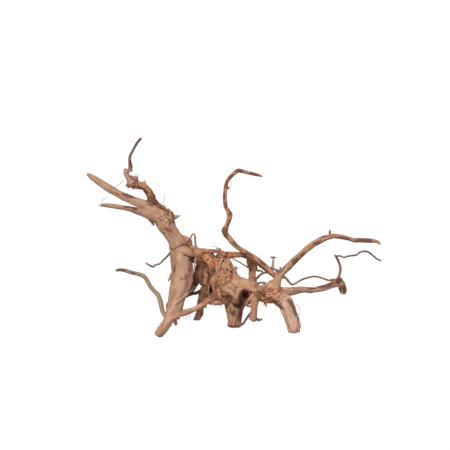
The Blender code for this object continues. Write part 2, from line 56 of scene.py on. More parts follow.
# The routes are read from the front, by someone who looks slightly down on the
# piece: x and z are taken on the upright plane y = 0 and the point then lies on
# the same line of sight, at its own depth y
EYE_DISTANCE = 1800.0
EYE_PITCH = math.radians(11)
AIM = np.array([-12.5, 0.0, 132.5])
EYE = AIM + EYE_DISTANCE * np.array([0.0, -math.cos(EYE_PITCH), math.sin(EYE_PITCH)])
CENTRE = np.array([-1.2, 5.5, 0.0])     # the middle of the footprint box is the origin

# The camera stands at the eye and frames the piece as the photograph does
LENS = 115.0
SENSOR = 36.0

TRUNK_RADIUS = 13.2                     # the thick left leg, half way up

# How finely the skin is made
VOXEL = 0.6
SKIN_TRIANGLES = 196000
LIMB_STEP = 2.5
TWIG_STEP = 0.9
HAIR_STEP = 0.8
SIDES = {                               # of the tubes that the parts are drawn as
    "limb": 20, "cord": 16, "core": 24, "twig": 14, "strand": 10, "burl": 12, "crawler": 8,
    "splinter": 8, "hair": 6,
}
STOUT = 2.2                             # above this radius, a twig is part of the skin

# Over what share of its radius a tube's end narrows, and how strongly
ROUND_END = 0.8
SAWN_END = 0.2
END_TAPER = 0.85

# A fluted limb's raised cords, and how far out they lie and how thick they and the core
# inside them are, as shares of the limb's radius
CORDS = 5
CORD_OFFSET = 0.56
CORD_RADIUS = 0.47
CORE_RADIUS = 0.93

# Noise that follows the grain: how long its lumps are along a limb and how wide across it,
# its seed, and its layers
RIBS = (45, 8, 15, 2)
RIDGES = (20, 3.2, 21, 3)
GROOVES = (30, 9, 31, 2)
PITS = (7, 3.6, 41, 1)
BARK_PATCHES = (17, 5, 51, 3)
LIMB_SHIFT = np.array([31.7, 5.3, 11.9])    # moves the noise from one limb to the next
TWIG_SHIFT = 53.0
PRIMES = (73856093, 19349663, 83492791)     # they scramble the cells of the noise

# How far around itself a place is compared, in millimetres, to find small and large hollows
SMALL_HOLLOW = 1.5
LARGE_HOLLOW = 4.6

# Knots on a thin twig: one to so many millimetres, how much they swell it, and their length
KNOT_GAP = 14
KNOT_SWELL = 0.22
KNOT_LENGTH = 1.1

FIBRE_SHARE = 0.6                       # of the splinters, the rest are flat scales
SPLINTER_STEPS = 7
SPLINTER_ROOT = 1.2                     # how deep it is sunk in the wood

# Each limb is a list of (x, depth y, z, radius)
LIMBS = {
    "long_spike": [(-184, 28, 197.5, 1.8), (-176, 25, 191.5, 3.4), (-164, 20, 183.5, 4.4),
        (-152, 15, 176, 4.9), (-140, 9, 169.5, 5), (-128, 4, 164, 5.2), (-116, -1, 159, 6),
        (-104, -6, 153.5, 7.5), (-92, -9, 146, 9)],
    "short_spike": [(-169.5, -38, 157.5, 1.5), (-164, -36, 157.8, 2.2), (-156, -33, 157, 2.6),
        (-148, -30, 156, 2.8), (-140, -26, 154.8, 2.9), (-132, -22, 153.4, 3.2), (-124, -17, 151.2, 4),
        (-116, -13, 148.7, 5), (-106, -12, 146, 7), (-94, -11, 142, 9)],
    "gnarled_branch": [(-97, -3, 152, 7), (-102.5, 1, 161, 6.2), (-104.5, 4, 168, 5),
        (-108, 7, 175, 4.7), (-113, 9, 180.5, 4.6), (-119, 11, 183, 4.2), (-126, 12, 184.5, 6),
        (-130.5, 12, 185, 5.2)],
    "gnarled_tip": [(-127, 12, 184, 6), (-129, 12, 190, 4.8), (-133.8, 13, 194.5, 3.2),
        (-135.6, 13, 199.5, 2.9), (-136.4, 13, 204.6, 2.2)],
    "gnarled_lump": [(-132, 12, 181, 4), (-128.5, 11, 186, 6.4), (-125, 11, 190, 5.6),
        (-122, 11, 193.5, 3)],
    "trunk": [(-112, -8, 151, 8), (-99, -9, 148, 10.8), (-90, -10, 141, 12), (-87, -10, 133, 11),
        (-81.5, -10, 125, 9.7), (-76, -10, 117, 9.8), (-71, -10, 108.5, 11.4), (-68, -11, 100, 12.6),
        (-67.3, -13, 86.5, TRUNK_RADIUS), (-66.8, -17, 70.4, TRUNK_RADIUS), (-69.5, -21, 54, 12.8),
        (-72, -25, 43.5, 11.2), (-74, -29, 32.5, 10.2), (-77, -33, 21.5, 9.4), (-83.5, -38, 10.5, 6.8),
        (-90.5, -42, 0, 5.8), (-99, -45, -11, 5.2)],
    "neck_top": [(-90, -9, 147.5, 9), (-84, -9, 145, 8.2), (-81, -9, 138, 6)],
    "shoulder_top": [(-71, -9, 111, 8), (-63, -9, 112, 6.6), (-55, -9, 106, 6)],
    "trunk_lobe": [(-76, -15, 101, 5.5), (-68, -18, 101, 6), (-61.5, -19.5, 99, 5.8),
        (-56, -19.5, 96, 4.6), (-52, -19, 93.6, 2.8), (-49.6, -18.5, 92, 1.3)],
    "shoulder": [(-66, -11, 101, 10), (-57, -10, 97, 9.5), (-48, -8, 93.5, 9), (-39, -6, 91, 9),
        (-30, -5, 89, 9)],
    "crown_middle": [(-28, -4, 90, 8.5), (-26, -3, 80, 12.5), (-24, -2, 68, 15), (-22, -2, 56, 14.5),
        (-20, -3, 46, 12.5), (-20, -4, 39, 8)],
    "crown_front": [(-26, -7, 86, 9), (-21, -10, 74, 13), (-16, -10, 62, 14), (-9, -9, 53, 12),
        (1, -9, 53, 9), (10, -9, 55, 7.5)],
    "crown_left": [(-40, -8, 92, 7), (-35, -10, 82, 6.5), (-33, -11, 70, 6), (-32, -11, 58, 5.5),
        (-29.5, -12, 47, 5.5), (-27, -12, 37, 5.5)],
    "shoulder_cord": [(-56, -16, 97, 5), (-48, -16, 95, 5.5), (-40, -16, 92, 6), (-32, -18, 84, 5.5),
        (-28, -19, 72, 5), (-26, -20, 60, 5), (-23, -19, 48, 5), (-21, -17, 38, 5)],
    "middle_cord": [(-16, -12, 90, 4.5), (-17, -17, 78, 5), (-16, -19, 66, 5), (-12, -18, 56, 5),
        (-6, -16, 50, 4)],
    "saddle_cord": [(-15, -12, 84, 5), (-9, -16, 74, 5), (1, -17, 64, 4.8), (13, -16, 57, 4.8),
        (25, -15, 50, 5), (35, -14, 44.5, 4.6), (48, -12, 40, 4.5)],
    "lip": [(-24, -16, 56, 4.5), (-18, -18, 52, 4), (-12, -19, 49.5, 3.8), (-6, -19.5, 46.8, 3.6),
        (-1.6, -19.5, 41.6, 3.1), (0.7, -19, 37.6, 2.5), (2.8, -19, 43.4, 2.6), (6, -17.5, 51.4, 4),
        (12, -16.5, 55.4, 5), (19, -16.5, 55, 5), (27, -15.5, 53, 5.4)],
    "skirt": [(-38, -9, 35, 4.5), (-30, -9, 35, 5), (-22, -8, 35, 5.5), (-14, -5, 38, 7),
        (-6, 0, 38, 8)],
    "sheet": [(-16, -14, 64, 6), (-9, -15, 57, 6.5), (-3, -15.5, 50, 5), (0.5, -16.5, 43.5, 3.4)],
    "saddle_sheet": [(-8, -13, 70, 6), (2, -15, 60, 7.4), (12, -16, 57.6, 6.2), (23, -15, 51, 6),
        (33, -12, 44.5, 5.5)],
    "crown_top": [(-44, -6, 97, 4), (-36, -8, 98, 3.6), (-30, -9, 98, 2.4), (-24, -9, 99, 1.9),
        (-18.5, -8, 97.2, 2.6), (-12, -6, 94, 5)],
    "crown_left_of_hole": [(-36, -8, 94, 4), (-27.2, -8, 95, 3.6)],
    "crown_right_of_hole": [(-21.5, -7, 95.4, 3.5), (-13, -6, 92, 4)],
    "recess_back": [(4, 12, 40, 9), (13, 12, 38.5, 9.5), (22, 9, 40.5, 9)],
    "crown_right": [(-14, -2, 91, 6.5), (-13, -3, 82, 8), (-9, -4, 73, 9.2), (-1.5, -6, 62.5, 7.7),
        (9, -8, 56, 7.4), (20, -10, 52.4, 8), (31, -9, 44.8, 8.6), (43, -8, 42, 10.6),
        (55, -7, 44, 11)],
    "crown_back": [(-30, 14, 84, 7), (-24, 18, 72, 10), (-16, 19, 61, 10.5), (-4, 17, 53, 9.5),
        (9, 14, 55, 7.5), (21, 12, 50.5, 8), (34, 9, 43.5, 8.6), (48, 4, 45, 9), (58, 1, 46.5, 6)],
    "crown_foot": [(-34, 10, 66, 7.5), (-26, 12, 52, 9), (-14, 8, 42, 9)],
    "crown_side": [(-39, 0, 86, 5), (-39.5, 3, 78, 5.5), (-40.5, 5, 70, 6), (-41, 8, 63, 5.5),
        (-40, 12, 55, 5)],
    "back_cord_left": [(-36, 12, 86, 5.5), (-31, 21, 72, 6), (-30, 25, 58, 5.5), (-37, 25, 44, 5),
        (-42, 28, 30, 4.5)],
    "back_cord_right": [(-12, 16, 86, 5), (-7, 23, 72, 5.5), (4, 22, 60, 6), (18, 19, 54, 6),
        (34, 15, 46, 6.3), (48, 8, 43, 7), (59, 0, 37, 7), (66, -7, 28, 6.5)],
    "ledge": [(-48, -5, 97, 6.5), (-38, -3, 95, 6), (-29, -3, 88, 6), (-18, -3, 92.5, 5),
        (-10, -2, 94, 4.6), (0, 0, 94.5, 3.7), (10, 2, 94, 3.2), (18, 3, 91, 3.2), (26, 2, 86, 3.2),
        (33, 1, 81, 3.1), (40, 0, 75.5, 3), (47, -2, 71, 3.2), (53, -3, 67, 4)],
    "post": [(18, 10, 91, 4), (21, 12, 84, 5.8), (23, 13, 79, 5.8), (22, 13, 70, 4.4), (22, 10, 62, 5),
        (22, 6, 55, 6)],
    "hub_fan": [(31, -6, 48, 4.5), (37, -6, 51, 4.4), (43, -5, 55, 4), (49, -4, 61, 4)],
    "hub": [(44, -6, 46, 10), (49.5, -6, 54, 7.6), (53.6, -5, 61.5, 5.4), (56.8, -4, 67.5, 4.6),
        (60, -5, 71.5, 4.4)],
    "long_branch": [(57, -4, 67.5, 4.6), (62, -6, 73.5, 4.4), (68, -8, 80, 4.3), (75, -12, 87, 4.1),
        (82, -16, 94, 3.8), (90, -20, 101.5, 3.8), (99, -24, 108.3, 3.8), (108, -28, 113.5, 3.5),
        (116, -31, 117, 3.1), (124, -33, 118.5, 2.9), (133, -34, 117.5, 2.6)],
    "right_branch": [(52, -4, 46, 8), (60, 0, 46.5, 5.8), (69, 4, 46.8, 5.2), (77, 9, 47.8, 4.5),
        (86, 14, 49, 3.9), (96.5, 19, 48.4, 3.6), (105, 23, 49.6, 3.7), (115.5, 27, 52.6, 4),
        (123, 30, 56, 4.4), (131, 32, 59, 5.2)],
    "right_stub": [(127, 31, 60, 4.4), (131.5, 32, 59.5, 5.2), (135, 34, 54, 4.5), (137, 36, 48, 4.1),
        (137.8, 36, 44.4, 4)],
    "right_leg": [(52, -7, 43, 11), (58, -9, 37.5, 10.2), (64.5, -12, 30.5, 9.8),
        (68.5, -15, 22.5, 9.1), (71.5, -17, 14, 8.7), (73.5, -19, 6, 8.3), (74.7, -20, -2, 8.1),
        (75.3, -20, -8, 8)],
    "middle_leg": [(-1, 6, 46, 12), (0, 6, 37, 12.6), (-0.8, 5, 29, 12.2), (-0.5, 5, 22, 10),
        (0, 6, 14, 8.7), (-0.2, 7, 7, 8.3), (-0.8, 7, 1, 8.5), (-0.8, 7, -4, 8.5)],
    "front_stub": [(28, -11, 47, 6), (26.4, -16, 42, 6.6), (24.7, -21, 35, 5.6), (24.6, -24, 26, 4.4),
        (23.9, -25, 18, 4.1), (23.2, -25, 12, 4.3), (23.3, -25, 9.5, 4.2)],
    "back_leg": [(-28, 6, 64, 8), (-33, 10, 54, 7.5), (-38, 15, 46, 6.8), (-41, 21, 38, 6),
        (-42.8, 26, 30, 5.4), (-44.6, 33, 20, 4.9), (-47, 37, 14.5, 4.4), (-48.7, 39, 9, 4),
        (-49.2, 40, 4, 3.9)],
    "rear_root": [(-40, 6, 88, 6), (-43.5, 9, 77, 5.6), (-46, 10, 68, 6.3), (-50, 9, 61, 6),
        (-55.5, 4, 53.5, 5.5), (-61, -4, 46, 6)],
    "low_root": [(-82, -39, 12, 3), (-76, -40, 14.5, 3.8), (-70, -36, 17.5, 3.9), (-61, -29, 20.3, 3.7),
        (-50, -22, 24.5, 3.2), (-42.5, -18, 29, 3), (-36, -15.5, 33, 3), (-29, -12, 37.5, 3),
        (-22, -8, 41, 3)],
    "trunk_ridge": [(-84, -24, 33, 2.5), (-84.5, -27, 26, 2.8), (-84, -31, 19, 2.5)],
}

# Limbs with raised cords, and how far the cords turn along them, in turns
FLUTED = {
    "trunk": 0.55, "shoulder": 0.2, "crown_middle": 0.25, "crown_right": 0.3, "right_leg": 0.25,
    "middle_leg": 0.15, "long_spike": 0.2, "hub": 0.1, "right_branch": 0.4,
}

SAWN = {"right_stub", "front_stub"}     # these end flat, all others round

# Thin parts, joined to the body afterwards
TWIGS = {
    "s_branch": [(33.3, 26, 194.3, 1.3), (30, 25, 195.4, 1.8), (25, 23, 196.7, 2.1), (20, 21, 198, 2.1),
        (14.5, 18, 199.2, 2.3), (5, 13, 201.4, 2.6), (1, 11, 200, 2.4), (-3.6, 8, 195.8, 2.4),
        (-7.8, 5, 191.1, 2.3), (-10.4, 2, 186.4, 2.2), (-11.6, -1, 180, 2.4), (-12.7, -5, 170.5, 2.4),
        (-12.6, -8, 162, 2.5), (-11.3, -10, 155.5, 2.5), (-8.6, -12, 150.3, 2.7),
        (-6.8, -12, 146.3, 3.4), (-7.1, -13, 142.5, 3.1), (-8.4, -13, 137, 2.6),
        (-10.8, -14, 130.8, 2.9), (-12.8, -14, 126, 4), (-11.6, -14, 121.5, 3.7),
        (-8.6, -13, 117.4, 3.4), (-1, -12, 108, 3.2), (10.4, -10, 99.3, 3.2), (23, -8, 91.4, 3.2),
        (34.5, -6, 83, 3.1), (46, -4, 72.5, 3), (54, -4, 66, 3.2)],
    "s_knob_top": [(5, 13, 200.5, 2), (5.3, 13, 204.3, 1.2)],
    "s_knob_side": [(-11, -1, 180.5, 1.8), (-6.6, -1, 178.6, 1.1)],
    "s_knuckle": [(-8, -12, 144, 2.6), (-4, -13, 147.5, 1.8)],
    "long_branch_tip": [(124, -33, 118.5, 2.4), (133, -34, 117.5, 2.6), (142, -34, 115.3, 2.4),
        (150, -33, 113.2, 2.5), (158, -31, 113, 2.6), (166, -29, 112.8, 2.6), (174, -26, 112.2, 2.2),
        (180, -23, 110.5, 1.5), (182.6, -22, 106.8, 1)],
    "thorn_right": [(119, -31.5, 118, 1.7), (119, -32, 126.5, 1)],
    "loop_twig": [(57, -5, 66, 2), (64, -2, 64.5, 1.4), (69.7, 2, 57.5, 1.3), (74, 5, 56.3, 1.3),
        (82.8, 10, 61.3, 1.2), (89, 13, 64, 1.2), (95.5, 17, 65.8, 1.2), (101.7, 20, 66.3, 1.2),
        (110, 24, 64.3, 1.2), (118.5, 28, 61.3, 1.2), (123, 30, 62, 1.5), (130, 32, 60, 2)],
    "rising_twig": [(130.8, 32, 60, 2.6), (130.8, 32, 65, 1.8), (132.5, 31, 71, 1.7),
        (133, 29, 76, 1.7), (132.3, 27, 80, 1.6), (131, 25, 84.5, 1.5), (128.5, 22, 89.5, 1.5),
        (125.2, 19, 94.8, 1.1)],
    "wavy_twig": [(126.8, 20.5, 92.3, 1.3), (132, 18, 92.9, 1.1), (137.2, 15, 91, 1.1),
        (142.3, 13, 92.6, 1.1), (152.8, 9, 94.2, 1.1), (156.8, 7, 97.5, 1.1), (163, 4, 98.9, 1.1),
        (168.3, 2, 97.5, 1.1), (173.5, 0, 93.4, 1.1), (178.7, -2, 89, 1.1), (185, -4, 86.4, 0.9)],
    "left_root": [(-150.5, 22, 74.3, 1.8), (-143.7, 19, 75, 2.1), (-137.5, 16, 73.7, 2.3),
        (-130, 12, 71.3, 2.4), (-122.8, 8, 69.7, 2.4), (-117.5, 5, 67.8, 2.5), (-113.3, 2, 65, 2.5),
        (-110.2, -1, 59.8, 2.5), (-106.6, -5, 53.2, 2.5), (-101.9, -8, 47.8, 2.6),
        (-97.2, -12, 42.3, 2.8), (-94.7, -15, 35.9, 2.9), (-93.2, -19, 28.3, 2.8),
        (-91.7, -23, 21.8, 2.6), (-88.5, -28, 16, 2.6), (-82, -34, 12, 3)],
    "zigzag_twig": [(-112.6, -24, 84, 1), (-108, -23, 81.2, 1.1), (-103.3, -21, 79, 1.3),
        (-100, -20, 81.4, 1.1), (-94.9, -18, 82.8, 1.1), (-90, -16, 87.5, 1.1), (-85.5, -14, 92, 1.3),
        (-80, -12, 97.5, 1.6), (-72, -12, 100, 1.8)],
    "dark_twig": [(-68, -14, 38, 2.4), (-61, -8, 41, 1.9), (-55, -2, 43.5, 1.9), (-49.5, 4, 45, 1.9),
        (-44, 10, 47, 2), (-38, 12, 49, 2.4)],
    "upper_twig": [(-135, 13, 198.5, 2), (-131.5, 13, 202, 2.6), (-130, 13, 205.5, 2.7),
        (-130.3, 13, 210, 2.2), (-130.9, 13, 215.5, 1.8), (-129.8, 14, 221, 1.6), (-127, 15, 226, 1.6),
        (-124.2, 16, 231.3, 1.6), (-121, 17, 236.6, 1.5), (-116, 18.5, 242.3, 1.3)],
    "upper_twig_heel": [(-131.5, 13, 202.3, 2.3), (-126.6, 13, 201, 1)],
    "branch_bump": [(-112, 9, 182, 3), (-113.5, 9, 188, 0.6)],
    "lump_tag": [(-130, 12, 183, 3), (-137, 12, 182, 0.7)],
    "neck_thorn": [(-79, -6, 142, 3.2), (-74, -4, 142.8, 2.2), (-69.5, -2, 144.3, 0.6)],
    "neck_rootlets": [(-97, -11, 154, 1.6), (-92.5, -14, 157, 1), (-88.5, -15, 156.5, 0.9),
        (-86, -16, 152, 0.9), (-83, -17, 150, 1.2)],
    "neck_flake": [(-98, -14, 141, 3), (-103, -17, 136.5, 2.2), (-101.5, -18, 131.5, 0.7)],
    "neck_flake_small": [(-100, -14, 141, 2.5), (-109, -15, 137, 0.6)],
    "wrap_root": [(-82, -16, 102.5, 1.1), (-76.5, -20, 101.8, 1.1), (-70, -22.5, 105.5, 1.1),
        (-61.5, -20.5, 111, 1.1), (-56.4, -12, 114.5, 1.1), (-54.5, -9, 119, 1.1),
        (-52.4, -8, 121, 1.1), (-50.2, -8, 119, 1.1), (-50, -9, 112, 1.1), (-49, -10, 104, 1.5)],
    "hanging_strand": [(-49.3, -18, 92, 1.2), (-50.2, -18, 86, 1.1), (-50.8, -17, 80, 1.1),
        (-51.6, -16, 74, 1.1), (-55, -17, 68, 1.6)],
    "crown_strand": [(-16, -18, 90, 1.4), (-18, -22, 84.5, 1), (-19, -23.5, 79, 0.9),
        (-22, -24, 73.5, 0.9), (-24, -22, 68, 1.3)],
    "trunk_strand": [(-50, -4, 53, 1.4), (-57, -22, 47, 1.2), (-63, -33.5, 41.4, 1.2),
        (-69.3, -38.6, 36, 1.3), (-76, -40.5, 30, 1.4)],
    "trunk_flake": [(-77, -18, 72, 2.3), (-80, -19, 67, 1.9), (-82.6, -19.5, 62.5, 1),
        (-83.8, -19.5, 59.8, 0.5)],
    "low_stub": [(-77, -33, 14, 3.6), (-75.5, -33, 8, 2.2), (-74.6, -33, 2.4, 0.9)],
    "low_stub_side": [(-73, -31, 15, 3), (-70.5, -31, 10, 0.8)],
    "crown_arch": [(-36, -8, 98.5, 2), (-29, -10, 100.3, 1.5), (-22, -10, 99.2, 1.4),
        (-15, -8, 96.5, 2.2)],
    "crown_spur": [(-17, -5, 95, 2.2), (-18.3, -4, 100, 1.4), (-20.3, -4, 103.2, 0.9)],
    "crown_tag": [(-42, -14, 31, 2.4), (-37.5, -16, 28, 1.8), (-36, -17, 24.5, 0.6)],
    "window_twig": [(-4, -8, 89.8, 1.4), (-1.7, -8, 89, 0.9), (5.6, -2, 85, 0.9), (12, 4, 80.8, 0.9),
        (18, 9, 77.5, 1.6)],
    "window_tooth": [(-7, -6, 77, 4), (-1, -6, 77.5, 2.6), (2.5, -6, 76, 1.4)],
    "hub_arch": [(23, 5, 60, 2.1), (27.5, 3, 64, 1.5), (31, 2, 67.7, 1.4), (35, 1, 70.5, 1.4),
        (40.5, 0, 71.5, 1.4), (45, -1, 69.3, 1.5), (51, -3, 65, 2.2)],
    "hub_curl": [(28, 8, 74, 1.3), (33, 4, 73.5, 1.1), (36, 1, 70.5, 1.2)],
    "saddle_stub": [(24, 0, 56.5, 2), (28.3, -3, 57.5, 1.3), (33.5, -6, 58.4, 1.2),
        (39, -7, 58.2, 1.1)],
    "tee_stem": [(46, -4, 73, 2), (47.7, -4, 80, 1.6), (48.5, -4, 90.6, 1.2)],
    "tee_bar": [(44.8, -4, 91.4, 1), (51.6, -4, 90.6, 1.2)],
    "hub_twig": [(43, -5, 77.5, 2), (49.5, -5, 75.8, 1.4), (57, -5, 71.5, 2.2)],
    "hub_spur": [(57.5, -5, 72, 2), (57.2, -5, 78.8, 1)],
    "leg_twig": [(21, -22, 20, 2), (18, -19, 16, 1.5), (14, -13, 10.5, 1.4), (10.5, -9, 5, 1.4),
        (5, -8, 3.5, 2)],
    "stub_prong": [(23, -25, 12.5, 2.6), (28, -26, 10.6, 1.5), (32, -27, 9.8, 1.2),
        (35, -27, 11.4, 0.9)],
    "stub_knob": [(25, -22, 42.5, 3.6), (20.2, -22, 38.8, 2.8), (16.1, -21, 34.7, 2.2),
        (13.8, -20, 30.6, 1.5)],
    "stub_loop": [(13.8, -20, 31, 1.3), (15.5, -19, 28.4, 1.2), (20, -20, 27.5, 1.5)],
    "saddle_tag": [(37, -9, 36, 3), (39.5, -12, 29, 1.6), (40.5, -13, 26.6, 0.7)],
    "foot_tag": [(78, -20, 1, 3), (84.5, -20, 0.5, 0.7)],
    "back_thorn": [(-26, 24, 62, 4), (-24, 34, 66, 2.2), (-23, 41, 72, 1.2)],
    "back_twig": [(-2, 22, 58, 4), (-7, 34, 63, 2.4), (-13, 43, 71, 1.9), (-15, 52, 80, 1.5),
        (-20, 60, 86, 1.2)],
    "back_root": [(-64, -2, 84, 4.5), (-66, 11, 79, 3), (-69, 23, 70, 2.4), (-71, 33, 59, 2.1),
        (-69, 42, 50, 1.8), (-72, 49, 43, 1.3)],
}

# Finer cords that stand out of rough limbs: how many, their turns, and their share of the radius
STRANDS = {
    "crown_right": (6, 0.4, 0.17), "crown_back": (6, 0.3, 0.2), "crown_left": (3, 0.3, 0.3),
    "shoulder": (6, 0.2, 0.2), "crown_foot": (7, 0.2, 0.2), "hub": (6, 0.15, 0.17),
    "middle_leg": (6, 0.12, 0.16), "gnarled_branch": (4, 0.5, 0.28),
}
CRAWLERS = 90

# Burls, drawn as lumps on the surface: a middle with its depth, the spread, how many, their radius
BURLS = [
    (-24, -12, 72, 15, 26, 4.5), (-28, -8, 92, 8, 12, 3.6), (-22, -16, 46, 10, 12, 3.4),
    (-26, -20, 76, 12, 22, 2.8), (-32, -14, 60, 10, 18, 2.8), (-18, -20, 62, 10, 10, 2.4),
    (-10, -18, 76, 8, 22, 2.8), (-4, -18, 62, 7, 8, 2.4), (37, -15, 46, 9, 20, 2.7),
    (-45, -12, 94, 8, 5, 3.2), (-85, -18, 144, 8, 24, 3.4), (-84, -8, 150, 4, 5, 2.8),
    (-104, -10, 148, 7, 6, 3.6), (58, -16, 38, 9, 14, 3), (-127, 11, 187, 4, 6, 3),
    (-110, 8, 178, 6, 5, 2.6), (-20, 22, 64, 16, 22, 5), (30, 12, 46, 12, 9, 4.5),
    (-66, -18, 66, 10, 5, 5), (-70, -26, 48, 8, 4, 4), (-2, -3, 30, 8, 6, 4), (-36, 8, 62, 10, 9, 4.5),
    (131, 32, 58, 4, 5, 2.6), (-80, -34, 16, 5, 5, 2.6), (-91, -42, 2, 4, 5, 2),
    (75, -20, 3, 6, 6, 2.4), (-1, 3, 4, 6, 6, 2.4),
]

# Hollows carved with a round bottom: middle as read from the front, and radii
HOLLOWS = [
    ((11.6, -13, 42.4), (7.4, 14, 7.7)), ((1, -18, 31.5), (6, 8, 4)),
    ((-8, -19, 39.6), (6.5, 7.8, 4.2)), ((-24.3, -6, 93.4), (1.6, 20, 2.9)),
    ((-53.5, -18, 88.5), (5.5, 7, 4)), ((-30.5, -15, 50), (2, 5, 6.5)),
]

# Rougher places: middle as read from the front with its depth, reach, and how much rougher
ROUGH_PLACES = [
    (-90, -12, 146, 14, 0.6), (-86, -14, 139, 10, 0.35), (-127, 11, 187, 9, 0.3),
    (60, -12, 38, 13, 0.65), (-78, -33, 12, 9, 0.5), (-8, -18, 74, 10, 0.4), (35, -15, 44, 9, 0.5),
    (50, -16, 42, 7, 0.3), (-92, -42, 2, 7, 0.4), (76, -20, 2, 8, 0.5), (-1, 4, 2, 8, 0.6),
    (-61, -12, 106, 10, 0.3), (-68, -14, 66, 10, 0.25), (131, 32, 57, 8, 0.4), (24, -25, 10, 5, 0.5),
    (-68, -2, 84, 12, 0.3),
]

# Splinters and loose fibres: a middle, its spread, how many, their length, and the way
# they lean on the picture in degrees
SPLINTERS = [
    (-102, -15, 137, 4, 12, 5, -110), (-113, 9, 187, 2.5, 5, 3.5, 80), (-122, 11, 194, 3, 7, 3.5, 70),
    (-134, 12, 182, 3, 12, 3.5, 210), (-131, 12, 178, 2.5, 6, 3, 250), (-92, -12, 156, 6, 10, 3.5, 80),
    (-84, -12, 151, 4, 6, 3, 60), (-70, -3, 144, 2, 6, 3, 20), (-74, -6, 139, 2, 4, 3, -20),
    (-36, -9, 100, 4, 8, 3.5, 90), (-22, -8, 100, 4, 8, 4, 70), (-10, -5, 98, 3, 5, 3, 60),
    (-34, -12, 31, 3, 8, 3, -100), (-26, -12, 30, 4, 8, 3, -80), (-17, -10, 31, 3, 7, 3, -80),
    (-39, -15, 29, 2.5, 5, 3, -90), (-75, -33, 6, 2, 9, 4, -90), (-71, -31, 11, 2, 5, 3, -60),
    (-82, -33, 8, 2.5, 4, 4, -70), (-84, -20, 62, 2, 5, 3.5, 230), (-81, -18, 72, 3, 4, 3, 200),
    (-92, -44, 3, 3, 7, 3, 250), (-87, -42, 3, 3, 6, 4, -60), (82, -20, 3, 2, 7, 3, 10),
    (70, -24, 1, 3, 6, 2.5, -80), (77, -18, 27, 3, 5, 3, 10), (79, -19, 14, 3, 4, 3, 0),
    (8, 2, 4, 2.5, 7, 3, -30), (-8, 2, 4, 2, 4, 2, 230), (38, -10, 30, 3, 6, 3, -70),
    (52, -10, 31, 4, 6, 2.5, -90), (30, -26, 9, 3, 7, 2.5, -60), (22, -28, 9, 2, 4, 2, -100),
    (15, -20, 29, 2, 6, 2.5, -100), (4, -8, 76, 3, 5, 3, 30), (-1, -6, 84, 2, 4, 3, 40),
    (-52, -10, 110, 3, 5, 3, 60), (-63, -16, 112, 3, 3, 3, 90), (-80, -16, 104, 3, 5, 3, 180),
    (134, 32, 64, 2.5, 5, 2.5, 60), (138, 36, 44, 2, 5, 2, -80), (60, -6, 74, 2, 4, 3, 70),
    (151, -33, 110, 2, 3, 2, -80), (33, 26, 194, 1.5, 4, 2, -20), (-169, -38, 157, 1.5, 4, 2, 190),
    (-6, -13, 146, 2, 4, 2.5, 30), (-10, -14, 128, 2.5, 3, 2, 180), (-44, 30, 30, 4, 5, 3, -60),
    (-40, 20, 40, 5, 6, 4, 200), (-30, 24, 80, 6, 8, 4, 100), (10, 20, 60, 6, 8, 4, 80),
    (-55, 4, 56, 4, 6, 3, -90), (-49, 39, 3, 2, 5, 2.5, -80), (20, 14, 78, 4, 5, 3, 180),
]

